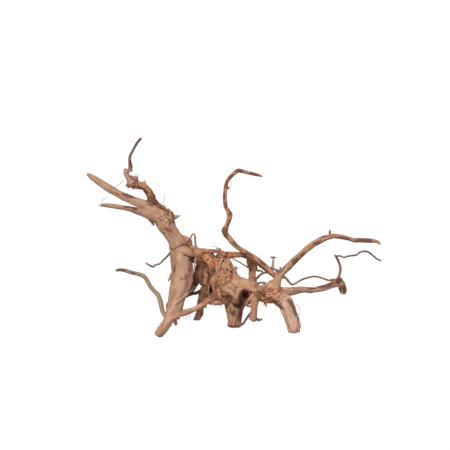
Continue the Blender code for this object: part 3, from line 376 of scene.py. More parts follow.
# Marks on the front, read from it: x, z, half length, half width, and tilt in degrees
MARKS = {
    "bark": [(-133.5, 169.5, 10, 2.2, -22), (-134, 155.5, 7, 1.4, -4), (-125, 153.5, 6, 2, -10),
        (-103, 161, 9, 6, -50), (-112, 176, 6, 2, -40), (-128, 192, 6, 1.4, -35),
        (-93, 154, 5, 1.2, -20), (-84, 151, 4, 1, 10), (-78, 147, 4, 1.3, -60), (-77, 137, 5, 1.3, -62),
        (-84, 141, 3, 0.7, -40), (-88, 146, 3, 0.6, 50), (-76, 75, 4, 1.7, 80),
        (-103, 135, 5, 2.4, -40), (-38.5, 96.5, 6, 2.5, 10), (-28, 72, 7, 3, 70), (-24, 55, 8, 2, 85),
        (-41, 88, 7, 2.2, -50), (-33, 62, 9, 2.5, 85), (30, 46, 5, 1.4, -30), (44, 38, 4, 2, 20),
        (56.5, 28.5, 11, 2.8, -30), (71, 32, 9, 2.6, -66), (75, 21, 7, 1.8, -75), (80, 12, 5, 1, 88),
        (76.5, 87, 8, 3.4, 42), (103, 110, 9, 1.8, 30), (138, 115, 9, 2.4, -12),
        (163, 113.5, 16, 2.4, -3), (115, 54, 14, 2.4, 15), (97, 51, 8, 1.4, 0), (131, 61, 6, 3.4, 40),
        (138, 51, 6, 1.2, -75), (133.5, 50, 3, 1, -75), (22, 196.5, 13, 3, -6), (6, 200.5, 8, 3, 10),
        (-5, 193.5, 6, 2.4, 45), (8.5, 20, 12, 4, 85), (-9, 31, 6, 2, 60), (0, 2, 9, 1.6, 0),
        (-143, 74.8, 10, 2.6, -6), (-128, 71, 4, 1.2, -14), (-10.5, 184, 7, 1.8, 80),
        (-13.5, 170, 9, 1.8, 88), (-11.5, 158, 7, 2, 80), (-6, 147, 4, 2, 60), (-8, 134, 6, 2, 70),
        (-10, 126, 4, 2, 80), (1, 108.5, 6, 2.6, -45), (18, 95, 8, 1.6, -34), (34, 84.5, 7, 1.4, -42),
        (20, 80, 9, 2.6, 85), (12, 96, 9, 1.4, -10), (31, 10.4, 6, 1.8, -4)],
    # The dark marks: painted shade in crevices, in hollows and under the crossing roots, carved a
    # little in
    "dark": [(-53.5, 99, 3.6, 0.8, 80), (-30.5, 50, 9, 2.8, 83), (-14, 87, 3, 1, 80),
        (-3.5, 72.5, 3.6, 2, -60), (-9.6, 74.7, 2.4, 1.2, 70), (-54, 86, 4, 2, -50),
        (12, 41.5, 5, 4, 90), (0, 29, 10, 2.8, -34), (9, 31, 5, 3, -60), (5, 28, 7, 3.6, -20),
        (-100, 159, 4, 2.4, -50), (-60, 92.6, 8, 0.8, -16), (-101, 135, 3.4, 1.6, -50),
        (-34, 88, 3, 1.2, 40), (-20, 66, 3, 0.9, 80), (-50.5, 108, 3, 1.2, 80), (40, 60, 6, 1.5, -10),
        (37, 41.5, 3, 1.8, -30), (44, 46, 2.2, 1, 40)],
    # The rust marks: reddish stains, and painted warm shade on the trunk's right side, under the lip
    # and on the middle leg's top
    "rust_and_shade": [(-61.7, 65.5, 6, 2.4, 86), (-57, 75, 5, 3.4, 10), (-67, 63, 4, 1.8, 20),
        (9, 33, 7, 5, -50), (29, 41, 7, 5, -40), (36, 45, 7, 5, 40), (43, 49, 5, 3, 30),
        (6.5, 14, 13, 4.4, 86), (-9, 36, 6, 5, 0), (-10, 28, 8, 3.5, -40), (5, 26, 8, 5, -40),
        (132, 60, 6, 3, 40), (-84, 127, 8, 1.8, -6), (-80.5, 124, 6, 1.2, -14), (-107, 158, 5, 1.4, 10),
        (-146, 172, 5, 1.2, -28), (-101, 161, 6, 4, -50), (-4, 68, 3, 2, -40), (-16, 85, 3, 2, 30),
        (-27, 73, 4, 2, 20), (-39, 56, 4, 3, 60), (-11, 60, 4, 1.5, -60), (-37, 83, 5, 3, -40),
        (-32, 68, 6, 2, 80), (-36, 50, 6, 2, 70), (-52, 96, 5, 1.5, 80), (2, 74, 4, 3, -60),
        (-9, 75, 3, 2, 80), (-19, 56, 6, 1, 85)],
    # The pits: carved in, and darkened with painted shade
    "pit": [(-29, 94.5, 3.2, 1.6, 70), (-19, 93, 2.6, 1, 30), (18.5, 30.5, 2, 1.2, 60),
        (51, 36, 1.6, 1, 0), (56, 41, 1.5, 0.8, 30), (61, 35, 1.8, 0.8, -30)],
    "warm": [(-147, 172.5, 5, 2, -28), (-113, 157, 5, 2, 0), (-86, 128.5, 8, 2.2, -8),
        (-67, 109, 13, 1.8, 26), (-43, 93.5, 9, 5, -30), (-28, 84, 9, 7, 60), (-18, 74, 8, 6, 90),
        (6, 99, 9, 2.6, -40), (-10, 152, 4, 2.6, 0), (93, 104.5, 5, 3, 40), (-94, -2, 3, 4, 30),
        (60, 4, 5, 4, 0), (-24, 100, 9, 3, 0), (128, 62, 6, 3, 0), (3, 64, 7, 3, -40)],
    # The pale marks: bleached wood, and painted highlights along the tops of some branches and spikes
    # and on the skirt under the crown
    "pale": [(-4, 47, 9, 3.4, -50), (12, 57, 12, 3, -20), (-140, 163, 14, 2, -28),
        (-85, 144, 9, 7, -60), (-24, 36, 10, 5, 0), (-86, 8, 10, 4, 40), (27, 77, 9, 1.6, -42),
        (-2, 110, 5, 1.4, -48), (15, 98, 6, 1.2, -36), (40, 74, 7, 1.4, -45), (-160, 182, 12, 2, -30),
        (64, 20, 14, 5, -68), (-87, 138, 12, 9, -60), (-17, 37, 9, 4, 0), (-8, 49, 10, 4, -40),
        (24, 91, 9, 1.5, -40), (-70, 92, 5, 8, 0), (-79, 28, 14, 5, 70), (-5, 20, 3, 13, 0),
        (45, 55, 6, 5, 60), (-12, 62, 3, 5, 60), (60, 42, 7, 4, -30), (-90, 148, 6, 4, -50)],
}

TWIG_TONES = {
    "hanging_strand": "rosy", "trunk_strand": "rosy", "crown_strand": "tan", "stub_loop": "umber",
    "window_twig": "grey", "wrap_root": "brown", "crown_arch": "brown", "crown_spur": "brown",
    "s_knob_top": "brown", "s_knob_side": "brown", "tee_stem": "grey",
    "loop_twig": "brown", "neck_rootlets": "umber", "thorn_right": "brown",
}

# Hair roots, as (x, depth y, z, radius)
HAIRS = [
    [(-166, 22, 160.5, 0.3), (-165.5, 18, 164, 0.3), (-162, 12, 166.5, 0.28), (-157, 8, 168, 0.2)],
    [(-152, 14, 179, 0.3), (-147, 10, 182, 0.3), (-142, 6, 186, 0.28), (-139, 3, 190.5, 0.2)],
    [(-94, -8, 157, 0.32), (-90, -6, 162, 0.3), (-88, -4, 167, 0.28), (-88.6, -2, 172.5, 0.2)],
    [(-7, -1, 180, 0.3), (-5, -1, 183, 0.26), (-4.4, -1, 186.5, 0.2)],
    [(-30, -18, 104.5, 0.35), (-26, -19, 104.8, 0.3), (-22, -20, 103.6, 0.25), (-20, -9, 100, 0.3)],
    [(77, -19, 31, 0.35), (82, -20, 25, 0.3), (82, -20, 18, 0.3), (79, -19, 13, 0.3)],
    [(-57, -26, 18, 0.3), (-57.5, -27, 14, 0.26), (-55.5, -28, 10.5, 0.2)],
    [(-62, -28, 17, 0.3), (-60.5, -30, 13.5, 0.26), (-61, -31, 9.5, 0.2)],
    [(-66, -29, 16, 0.3), (-64.5, -31, 12.5, 0.25), (-61.5, -32, 11, 0.2)],
    [(-88, -42, 4, 0.3), (-84, -43, 3.5, 0.28), (-82.5, -43, 8, 0.2)],
    [(24, -25, 14, 0.3), (18, -26, 10.5, 0.28), (13, -25, 8.5, 0.2)],
    [(70, -26, 4, 0.3), (66.5, -28, 1.5, 0.26), (64, -28, 2.2, 0.2)],
]

# How rough a limb is, how much bark it has kept, both from 0 to 1, and its wood's tone
STYLES = {
    "long_spike": (0.1, 0.05, "pale"), "short_spike": (0.15, 0.35, "pale"),
    "gnarled_branch": (0.5, 0.62, "umber"), "gnarled_tip": (0.4, 0.3, "grey"),
    "gnarled_lump": (0.5, 0.15, "grey"), "trunk": (0.16, 0.06, "pale"),
    "neck_top": (0.45, 0.05, "straw"), "shoulder_top": (0.2, 0.15, "tan"),
    "trunk_lobe": (0.12, 0.0, "pale"), "neck_thorn": (0.4, 0.5, "grey"),
    "neck_flake": (0.5, 0.9, "brown"), "neck_flake_small": (0.5, 0.9, "brown"),
    "trunk_flake": (0.3, 0.5, "olive"), "stub_prong": (0.3, 0.7, "grey"),
    "shoulder": (0.4, 0.2, "orange"), "crown_middle": (0.8, 0.3, "orange"),
    "crown_front": (0.6, 0.2, "orange"), "crown_left": (0.9, 0.3, "clay"),
    "shoulder_cord": (0.55, 0.3, "orange"), "middle_cord": (0.55, 0.25, "tan"),
    "saddle_cord": (0.4, 0.1, "tan"), "lip": (0.3, 0.0, "tan"), "skirt": (0.35, 0, "straw"),
    "sheet": (0.3, 0.0, "tan"), "saddle_sheet": (0.3, 0, "straw"), "crown_top": (0.8, 0.7, "umber"),
    "crown_left_of_hole": (0.8, 0.6, "umber"), "recess_back": (0.9, 0.3, "umber"),
    "crown_right": (0.6, 0.2, "orange"), "crown_back": (0.8, 0.3, "orange"),
    "crown_foot": (0.8, 0.5, "umber"), "crown_side": (0.8, 0.2, "clay"),
    "back_cord_left": (0.6, 0.3, "tan"), "back_cord_right": (0.5, 0.3, "tan"),
    "ledge": (0.4, 0.35, "orange"), "post": (0.5, 0.45, "clay"), "hub": (0.35, 0.1, "tan"),
    "hub_fan": (0.1, 0, "tan"), "long_branch": (0.25, 0.5, "tan"), "right_branch": (0.3, 0.35, "grey"),
    "right_stub": (0.5, 0.52, "clay"), "right_leg": (0.12, 0.05, "rosy"),
    "middle_leg": (0.4, 0.4, "clay"), "front_stub": (0.5, 0.2, "clay"), "back_leg": (0.5, 0.3, "clay"),
    # The rear root's dark tone is painted shade, where it lies behind the trunk
    "rear_root": (0.6, 0.5, "shaded_cocoa"), "low_root": (0.3, 0.1, "tan"), "trunk_ridge": (0.3, 0.8, "dark"),
    "s_branch": (0.3, 0.5, "tan"), "left_root": (0.12, 0.05, "olive"),
    "long_branch_tip": (0.3, 0.62, "clay"), "rising_twig": (0.3, 0.4, "grey"),
    "dark_twig": (0.3, 0.9, "dark"), "upper_twig": (0.3, 0.9, "twig"), "back_root": (0.3, 0.3, "grey"),
    "back_twig": (0.3, 0.3, "grey"),
}
PLAIN_STYLE = (0.3, 0.2, "tan")
TWIG_TONE = "twig"


def colour(red, green, blue):
    """Linear colour from the red, green and blue of a screen, 0 to 255."""
    share = np.array([red, green, blue]) / 255
    return np.where(share <= 0.04045, share / 12.92, ((share + 0.055) / 1.055) ** 2.4)


TONES = {
    "pale": colour(198, 161, 137), "rosy": colour(222, 184, 164), "tan": colour(212, 168, 138),
    "orange": colour(206, 150, 112), "umber": colour(176, 122, 92), "olive": colour(164, 150, 128),
    "grey": colour(192, 164, 146), "brown": colour(170, 126, 104), "dark": colour(112, 76, 60),
    "twig": colour(134, 116, 110), "straw": colour(226, 184, 146), "clay": colour(194, 152, 124),
    "shaded_cocoa": colour(122, 85, 66),
}
BARK = colour(104, 60, 48)
# Colour of dirt and of painted shade in hollows, pits and dark marks, and of painted shadow where they
# are darkest
SHADE_AND_DIRT = colour(66, 36, 24)
SHADOW = colour(34, 18, 13)
WARM = colour(198, 130, 84)
ROSE = colour(206, 146, 128)
OLIVE = colour(176, 146, 98)
RUST = colour(140, 78, 54)
FLESH = colour(224, 176, 150)
# Pale colour of bleached wood and of painted highlights
BLEACH_AND_HIGHLIGHT = colour(228, 190, 156)

# What the streaks and the fine fibres multiply the wood's tone by, at their darkest and palest
STREAKS = ((0.80, 0.72, 0.66), (1.12, 1.10, 1.08))
FIBRES = ((0.87, 0.83, 0.80), (1.04, 1.04, 1.04))

# Tint of each kind of mark, the most of it, and where in the mark it starts and is full
MARK_TINTS = {
    "warm": (WARM, 0.6, 0, 0.8), "rust_and_shade": (RUST, 0.85, -0.1, 0.7), "pale": (BLEACH_AND_HIGHLIGHT, 0.5, 0, 0.8),
}
# Tints that come and go: the most of each, its patches' size, and the share that smooth wood has
DRIFTS = [
    (ROSE, 0.65, 17, 0.45), (OLIVE, 0.7, 17, 0.45), (RUST, 0.65, 17, 0.45), (WARM, 0.35, 17, 0.45),
    (FLESH, 0.95, 7, 0), (RUST, 0.95, 6, 0),
]

# Light on a pale floor
WORLD_LIGHT = 0.24
WORLD_TINT = (1.0, 0.86, 0.74)
FLOOR_GLOW = 0.97
FLOOR_RADIUS = 30                       # in metres, so that its edge lies out of the picture
FLOOR_DROP = 0.0002                     # in metres, so that no foot shares its surface
# Name, strength, width of the source in degrees, and its turn about x, y and z
SUNS = [
    ("key", 2.15, 24, (50, 0, -20)), ("fill", 0.45, 50, (74, 0, 30)),
    ("behind", 0.9, 60, (-58, 0, 0)),
]


def seen(x, y, z):
    """Real place, in millimetres, of what is read at (x, z) from the front and lies at depth y."""
    on_plane = np.array([x, 0.0, z])
    return EYE + (on_plane - EYE) * (1 + y / -EYE[1]) - CENTRE


def smooth_route(points, step):
    """Places and radii about one step apart, on a smooth curve through a limb's points."""
    knots = [np.append(seen(x, y, z), radius) for x, y, z, radius in points]
    knots = [2 * knots[0] - knots[1]] + knots + [2 * knots[-1] - knots[-2]]
    route = []
    for a, b, c, d in zip(knots, knots[1:], knots[2:], knots[3:]):
        pieces = max(1, round(float(np.linalg.norm((c - b)[:3])) / step))
        for t in np.arange(pieces) / pieces:
            route.append(0.5 * (2 * b + (c - a) * t + (2 * a - 5 * b + 4 * c - d) * t**2
                                + (3 * b - a - 3 * c + d) * t**3))
    route.append(knots[-2])
    return np.array(route)


class Limb:
    """A route with its radii, its length so far and two directions across it."""

    def __init__(self, name, route):
        self.name = name
        self.places = route[:, :3]
        self.radii = route[:, 3]
        along = np.gradient(self.places, axis=0)
        self.along = along / np.linalg.norm(along, axis=1)[:, None]
        steps = np.linalg.norm(np.diff(self.places, axis=0), axis=1)
        self.reach = np.concatenate([[0], np.cumsum(steps)])
        side = np.cross(self.along[0], (0.3, 1.0, 0.2))
        sides = []
        for direction in self.along:
            side = side - direction * side.dot(direction)
            side /= np.linalg.norm(side)
            sides.append(side)
        self.sides = np.array(sides)
        self.others = np.cross(self.along, self.sides)


def cords(limb, turns, count, offset, radius):
    """Limbs for the raised cords that wind round a fluted one; offset and radius are shares."""
    phase = random.uniform(0, 2 * math.pi)
    share = np.linspace(0, 1, len(limb.places))
    found = []
    for k in range(count):
        stray = 0.25 * np.sin(share * random.uniform(5, 11) + random.uniform(0, 6))
        angle = phase + 2 * math.pi * (k / count + turns * share) + stray
        swell = 1 + 0.12 * np.sin(share * random.uniform(6, 14) + random.uniform(0, 6))
        out = limb.sides * np.cos(angle)[:, None] + limb.others * np.sin(angle)[:, None]
        centre = limb.places + out * (limb.radii * offset)[:, None]
        route = np.column_stack([centre, limb.radii * radius * swell])
        found.append(Limb(f"{limb.name}_cord_{k}", route))
    return found


def tube(limb, sides, swell=None):
    """Places and triangles of a closed tube; swell scales each ring point."""
    rings = len(limb.places)
    turn = np.arange(sides) * 2 * math.pi / sides
    across = (limb.sides[:, None] * np.cos(turn)[None, :, None]
              + limb.others[:, None] * np.sin(turn)[None, :, None])
    from_end = np.minimum(limb.reach, limb.reach[-1] - limb.reach)
    end = SAWN_END if limb.name in SAWN else ROUND_END
    whole = np.clip(from_end / (end * limb.radii), 0, 1)
    radii = (limb.radii * np.sqrt(1 - END_TAPER * (1 - whole) ** 2))[:, None] * np.ones(sides)
    if swell is not None:
        radii = radii * swell
    places = limb.places[:, None] + across * radii[:, :, None]
    places = np.concatenate([places.reshape(-1, 3), limb.places[:1], limb.places[-1:]])
    ring, side = np.meshgrid(np.arange(rings - 1), np.arange(sides), indexing="ij")
    a = (ring * sides + side).ravel()
    b = (ring * sides + (side + 1) % sides).ravel()
    walls = np.concatenate([np.stack([a, b, b + sides], 1), np.stack([a, b + sides, a + sides], 1)])
    first = np.arange(sides)
    second = (first + 1) % sides
    last = (rings - 1) * sides
    caps = np.concatenate([
        np.stack([second, first, np.full(sides, rings * sides)], 1),
        np.stack([first + last, second + last, np.full(sides, rings * sides + 1)], 1)])
    return places, np.concatenate([walls, caps])


def merged(shapes):
    """Places and triangles of several shapes as one."""
    places, triangles, start = [], [], 0
    for some_places, some_triangles in shapes:
        places.append(some_places)
        triangles.append(some_triangles + start)
        start += len(some_places)
    return np.concatenate(places), np.concatenate(triangles)


def new_object(name, places, triangles):
    """Smooth-shaded object from places in millimetres and triangles."""
    mesh = bpy.data.meshes.new(name)
    mesh.vertices.add(len(places))
    mesh.vertices.foreach_set("co", (places * MM).astype(np.float32).ravel())
    mesh.loops.add(3 * len(triangles))
    mesh.loops.foreach_set("vertex_index", triangles.astype(np.int32).ravel())
    mesh.polygons.add(len(triangles))
    mesh.polygons.foreach_set("loop_start", np.arange(0, 3 * len(triangles), 3, dtype=np.int32))
    mesh.update(calc_edges=True)
    mesh.validate()
    mesh.shade_smooth()
    piece = bpy.data.objects.new(name, mesh)
    bpy.context.scene.collection.objects.link(piece)
    return piece


def apply_modifiers(piece):
    """Makes an object's modifiers permanent."""
    depsgraph = bpy.context.evaluated_depsgraph_get()
    mesh = bpy.data.meshes.new_from_object(piece.evaluated_get(depsgraph))
    piece.modifiers.clear()
    piece.data = mesh


def read_mesh(mesh):
    """Places in millimetres, and corner triangles, of a mesh."""
    places = np.zeros(len(mesh.vertices) * 3, np.float32)
    mesh.vertices.foreach_get("co", places)
    mesh.calc_loop_triangles()
    triangles = np.zeros(len(mesh.loop_triangles) * 3, np.int32)
    mesh.loop_triangles.foreach_get("vertices", triangles)
    return places.reshape(-1, 3).astype(float) / MM, triangles.reshape(-1, 3)


def put_places(mesh, places):
    """Moves a mesh's points to places in millimetres."""
    mesh.vertices.foreach_set("co", (places * MM).astype(np.float32).ravel())
    mesh.update()


def edges_of(mesh):
    """Both ends of each edge, each edge given both ways round."""
    ends = np.zeros(len(mesh.edges) * 2, np.int32)
    mesh.edges.foreach_get("vertices", ends)
    ends = ends.reshape(-1, 2)
    return np.concatenate([ends, ends[:, ::-1]])


def average(values, edges, passes, share=1.0):
    """Values spread over the mesh: each pass moves a point by a share towards its neighbours."""
    count = len(values)
    degree = np.maximum(np.bincount(edges[:, 0], minlength=count), 1)
    flat = values.reshape(count, -1).astype(float)
    for _ in range(passes):
        near = np.stack([np.bincount(edges[:, 0], column[edges[:, 1]], count)
                         for column in flat.T], 1) / degree[:, None]
        flat = flat + share * (near - flat)
    return flat.reshape(values.shape)


def within(reach):
    """How many passes spread a value over a reach in millimetres, on the skin's even grid."""
    return max(1, round((reach / VOXEL) ** 2))


def bulge(places, facing, radius, edges, reach):
    """How far places lie inside (above 0) or outside the round limb they are on."""
    passes = within(reach)
    sunk = ((average(places, edges, passes) - places) * facing).sum(1)
    by_roundness = np.minimum(passes * VOXEL**2 / 4 / radius, 0.35 * radius)
    return sunk + by_roundness


def surface(places, triangles):
    """Tree that finds the nearest place of a surface, or what a ray meets on it."""
    return BVHTree.FromPolygons(places.tolist(), triangles.tolist(), all_triangles=True)


def scatter(rng, size):
    """Random offset, of about this size along each axis."""
    return Vector([rng.gauss(0, size) for _ in range(3)])


def relax(places, edges, passes):
    """Smooths a skin without thinning its twigs: each step in is followed by one back out."""
    for _ in range(passes):
        places = average(places, edges, 1, 0.6)
        places = average(places, edges, 1, -0.62)
    return places


def outward(places, triangles):
    """Unit normals at the places of a skin."""
    a, b, c = (places[triangles[:, k]] for k in range(3))
    facing = np.cross(b - a, c - a)
    total = np.zeros_like(places)
    for k in range(3):
        for axis in range(3):
            total[:, axis] += np.bincount(triangles[:, k], facing[:, axis], len(places))
    return total / np.maximum(np.linalg.norm(total, axis=1), 1e-9)[:, None]


def noise(points, seed=0):
    """Smooth noise from about -1 to 1, one lump to a unit."""
    points = points.astype(np.float32)
    cell = np.floor(points)
    inside = points - cell
    cell = cell.astype(np.int32)
    ease = inside**3 * (inside * (inside * 6 - 15) + 10)
    total = np.zeros(len(points), np.float32)
    for corner in itertools.product((0, 1), repeat=3):
        code = np.full(len(points), seed * 40503 + 977, np.int32)
        weight = np.ones(len(points), np.float32)
        for axis, prime in enumerate(PRIMES):
            code ^= (cell[:, axis] + corner[axis]) * np.int32(prime)
            weight *= ease[:, axis] if corner[axis] else 1 - ease[:, axis]
        code *= np.int32(1274126177)
        code ^= code >> 15
        code *= np.int32(668265263)
        slope = np.zeros(len(points), np.float32)
        for axis, shift in enumerate((2, 12, 22)):
            steep = ((code >> shift) & 1023) / np.float32(511.5) - 1
            slope += steep * (inside[:, axis] - corner[axis])
        total += weight * slope
    return total * 1.5


def layered(points, seed, layers=3):
    """Noise with finer noise on top of it."""
    total = np.zeros(len(points))
    for layer in range(layers):
        total += noise(points * 2**layer + 17.3 * layer, seed + layer) / 2**layer
    return total


def smoothstep(low, high, value):
    """0 up to the low value, 1 from the high one, and a smooth way between."""
    share = np.clip((value - low) / (high - low), 0, 1)
    return share * share * (3 - 2 * share)


class Grain:
    """For each place, its two nearest limbs and where it lies along and round each."""

    BLEND = 3.0      # a second limb so many millimetres farther off than the first doesn't count
    BATCH = 6000     # places looked up at a time
    FAR = 1e9

    def __init__(self, places, limbs):
        self.limbs = limbs
        samples = np.concatenate([limb.places for limb in limbs]).astype(np.float32)
        radii = np.concatenate([limb.radii for limb in limbs]).astype(np.float32)
        along = np.concatenate([limb.along for limb in limbs])
        sides = np.concatenate([limb.sides for limb in limbs])
        others = np.concatenate([limb.others for limb in limbs])
        reach = np.concatenate([limb.reach for limb in limbs])
        owner = np.repeat(np.arange(len(limbs)), [len(limb.places) for limb in limbs])
        sizes = (samples**2).sum(1)
        count = len(places)
        self.limb = np.zeros((2, count), int)
        self.gap = np.zeros((2, count))
        self.at = np.zeros((2, count, 3))
        for start in range(0, count, self.BATCH):
            part = slice(start, min(count, start + self.BATCH))
            some = places[part].astype(np.float32)
            squares = (some**2).sum(1)[:, None] + sizes - 2 * some @ samples.T
            apart = np.sqrt(np.maximum(squares, 0)) - radii
            for rank in range(2):
                best = apart.argmin(1)
                self.limb[rank, part] = owner[best]
                self.gap[rank, part] = apart[np.arange(len(some)), best]
                offset = some - samples[best]
                ahead = (offset * along[best]).sum(1)
                x, y = (offset * sides[best]).sum(1), (offset * others[best]).sum(1)
                size = np.maximum(np.hypot(x, y), 1e-6)
                spread = radii[best]
                self.at[rank, part] = np.stack(
                    [reach[best] + ahead, x / size * spread, y / size * spread], 1)
                if rank == 0:
                    apart[owner[None, :] == owner[best][:, None]] = self.FAR
        nearer = self.gap[1] - self.gap[0]
        self.second = 0.5 * (1 - smoothstep(0, self.BLEND, nearer))

    def noise(self, along, across, seed, layers=2):
        """Noise with lumps of a length along the grain and a width across it."""
        scale = np.array([1 / along, 1 / across, 1 / across])
        total = 0
        for rank, weight in enumerate((1 - self.second, self.second)):
            shift = self.limb[rank][:, None] * LIMB_SHIFT
            total = total + weight * layered(self.at[rank] * scale + shift, seed, layers)
        return total

    def own(self):
        """Where each place lies along and round its limb, no two limbs alike."""
        return self.at[0] + self.limb[0][:, None] * LIMB_SHIFT

    def heading(self, number, place):
        """The way that a numbered place's limb runs beside a place."""
        limb = self.limbs[self.limb[0][number]]
        return Vector(limb.along[np.argmin(((limb.places - place) ** 2).sum(1))])

    def of_limb(self, values):
        """A value that each limb has, blended where two limbs meet."""
        values = np.asarray(values, float)
        first, second = values[self.limb[0]], values[self.limb[1]]
        share = self.second if values.ndim == 1 else self.second[:, None]
        return first * (1 - share) + second * share


def front_of(tree, x, z):
    """First place that is met on the line of sight through (x, z)."""
    start = Vector(EYE - CENTRE)
    hit = tree.ray_cast(start, (Vector(seen(x, 0, z)) - start).normalized())[0]
    return None if hit is None else np.array(hit)


def mark_field(places, tree, marks):
    """1 in the middle of each mark, 0 at its edge, below 0 outside all of them."""
    field = np.full(len(places), -1.0)
    sight = (AIM - EYE) / EYE_DISTANCE
    right = np.array([1.0, 0.0, 0.0])
    up = np.cross(right, sight)
    wobble = 1 + 0.3 * noise(places / 2.6, 71) + 0.2 * noise(places / 1.1, 72)
    for x, z, length, width, tilt in marks:
        middle = front_of(tree, x, z)
        if middle is None:
            continue
        turn = math.radians(tilt)
        lengthwise = right * math.cos(turn) + up * math.sin(turn)
        widthwise = up * math.cos(turn) - right * math.sin(turn)
        offset = places - middle
        deep = max(1.6 * width, 4.0)
        squares = ((offset @ lengthwise) / length) ** 2 + ((offset @ widthwise) / width) ** 2
        squares += ((offset @ sight) / deep) ** 2
        field = np.maximum(field, 1 - np.sqrt(squares) * wobble)
    return field


def skin_limbs():
    """The limbs that the skin is drawn over, and the tubes that stand for them."""
    random.seed(SEED)
    limbs, tubes = [], []
    for name, points in LIMBS.items():
        limb = Limb(name, smooth_route(points, LIMB_STEP))
        limbs.append(limb)
        if name in FLUTED:
            for cord in cords(limb, FLUTED[name], CORDS, CORD_OFFSET, CORD_RADIUS):
                tubes.append(tube(cord, SIDES["cord"]))
            core = Limb(name, np.column_stack([limb.places, limb.radii * CORE_RADIUS]))
            tubes.append(tube(core, SIDES["core"]))
        else:
            tubes.append(tube(limb, SIDES["limb"]))
    for name, points in TWIGS.items():
        if max(point[3] for point in points) > STOUT:
            limb = Limb(name, smooth_route(points, LIMB_STEP / 2))
            limbs.append(limb)
            tubes.append(tube(limb, SIDES["twig"]))
    by_name = {limb.name: limb for limb in limbs}
    for name, (count, turns, radius) in STRANDS.items():
        for strand in cords(by_name[name], turns, count, 0.97 - 0.5 * radius, radius):
            tubes.append(tube(strand, SIDES["strand"]))
    return limbs, tubes


def remeshed(name, places, triangles, voxel):
    """Closed skin, on an even grid, over shapes that overlap."""
    skin = new_object(name, places, triangles)
    remesh = skin.modifiers.new("Skin", "REMESH")
    remesh.mode = "VOXEL"
    remesh.voxel_size = voxel * MM
    apply_modifiers(skin)
    return skin


def scoop(skin):
    """Carves the hollows."""
    balls = []
    for middle, radii in HOLLOWS:
        ball = bmesh.new()
        bmesh.ops.create_icosphere(ball, subdivisions=4, radius=1)
        places = np.array([vert.co for vert in ball.verts]) * radii + seen(*middle)
        balls.append((places, np.array([[vert.index for vert in face.verts] for face in ball.faces])))
        ball.free()
    cutter = remeshed("hollows", *merged(balls), VOXEL)
    cut = skin.modifiers.new("Hollow", "BOOLEAN")
    cut.operation = "DIFFERENCE"
    cut.solver = "MANIFOLD"
    cut.object = cutter
    apply_modifiers(skin)
    bpy.data.objects.remove(cutter)


def beside_hollow(place, room):
    """Whether something of this radius would reach into a hollow."""
    return any(((np.array(place) - seen(*middle)) ** 2 / (np.array(radii) + room) ** 2).sum() < 1
               for middle, radii in HOLLOWS)


def growths(places, triangles, grain, rough):
    """Burls, and small roots that creep over the rough wood, all of them half sunk in it."""
    rng = random.Random(SEED)
    tree = surface(places, triangles)
    picks = np.nonzero(rough > 0.6)[0]
    return burls(rng, tree, places, grain) + crawlers(rng, tree, places, grain, picks)


def burls(rng, tree, places, grain):
    """Short stout tubes strewn round each place in the table, longest along the grain."""
    tubes = []
    for x, y, z, spread, count, size in BURLS:
        for _ in range(count):
            hit, facing, _, _ = tree.find_nearest(Vector(seen(x, y, z)) + scatter(rng, 0.6 * spread))
            radius = size * rng.uniform(0.5, 1.2)
            if beside_hollow(hit, radius):
                continue
            number = np.argmin(((places - hit) ** 2).sum(1))
            heading = grain.heading(number, np.array(hit)) + scatter(rng, 0.8)
            heading = heading.normalized() * radius * rng.uniform(0.5, 1.3)
            middle = hit - facing * radius * rng.uniform(0.5, 0.8)
            route = [[*(middle + heading * share), radius * (1 - 0.4 * abs(share))]
                     for share in (-1, -0.5, 0, 0.5, 1)]
            tubes.append(tube(Limb("burl", np.array(route)), SIDES["burl"]))
    return tubes


def crawlers(rng, tree, places, grain, picks):
    """Small roots that each start at one of the picked places and follow the surface."""
    tubes = []
    for _ in range(CRAWLERS):
        start = int(picks[rng.randrange(len(picks))])
        heading = grain.heading(start, places[start]) * rng.choice((-1, 1))
        heading += scatter(rng, 0.45)
        radius = rng.uniform(0.9, 2.1)
        here, route = Vector(places[start]), []
        steps = rng.randint(7, 20)
        for step in range(steps):
            hit, facing, _, _ = tree.find_nearest(here)
            thin = radius * (1 - 0.6 * step / steps)
            if beside_hollow(hit, thin):
                break
            route.append([*(hit - facing * 0.25 * thin), thin])
            heading += scatter(rng, 0.16)
            heading -= facing * heading.dot(facing)
            heading.normalize()
            here = hit + heading * 1.7
        if len(route) > 3:
            tubes.append(tube(Limb("crawler", np.array(route)), SIDES["crawler"]))
    return tubes


def roughness(places, grain, edges, limbs_rough):
    """How rough each place is, from 0 for worn wood to 1 and more for the gnarled parts."""
    rough = average(grain.of_limb(limbs_rough), edges, within(2))
    for x, y, z, reach, more in ROUGH_PLACES:
        apart = np.linalg.norm(places - seen(x, y, z), axis=1)
        rough = rough + more * np.exp(-((apart / reach) ** 2))
    return rough


def bark_left(grain, facing, kept, marks):
    """Where bark is left, above 0.5: in patches and in its marks, with more patches underneath, which
    also paints the shade that falls there.
    """
    # Downward-facing places get more bark: partly painted shade on the undersides
    patch = grain.noise(*BARK_PATCHES) - 0.85 + 1.08 * kept - 0.2 * facing[:, 2]
    return 0.5 + np.maximum(0.55 * marks, 0.9 * patch)


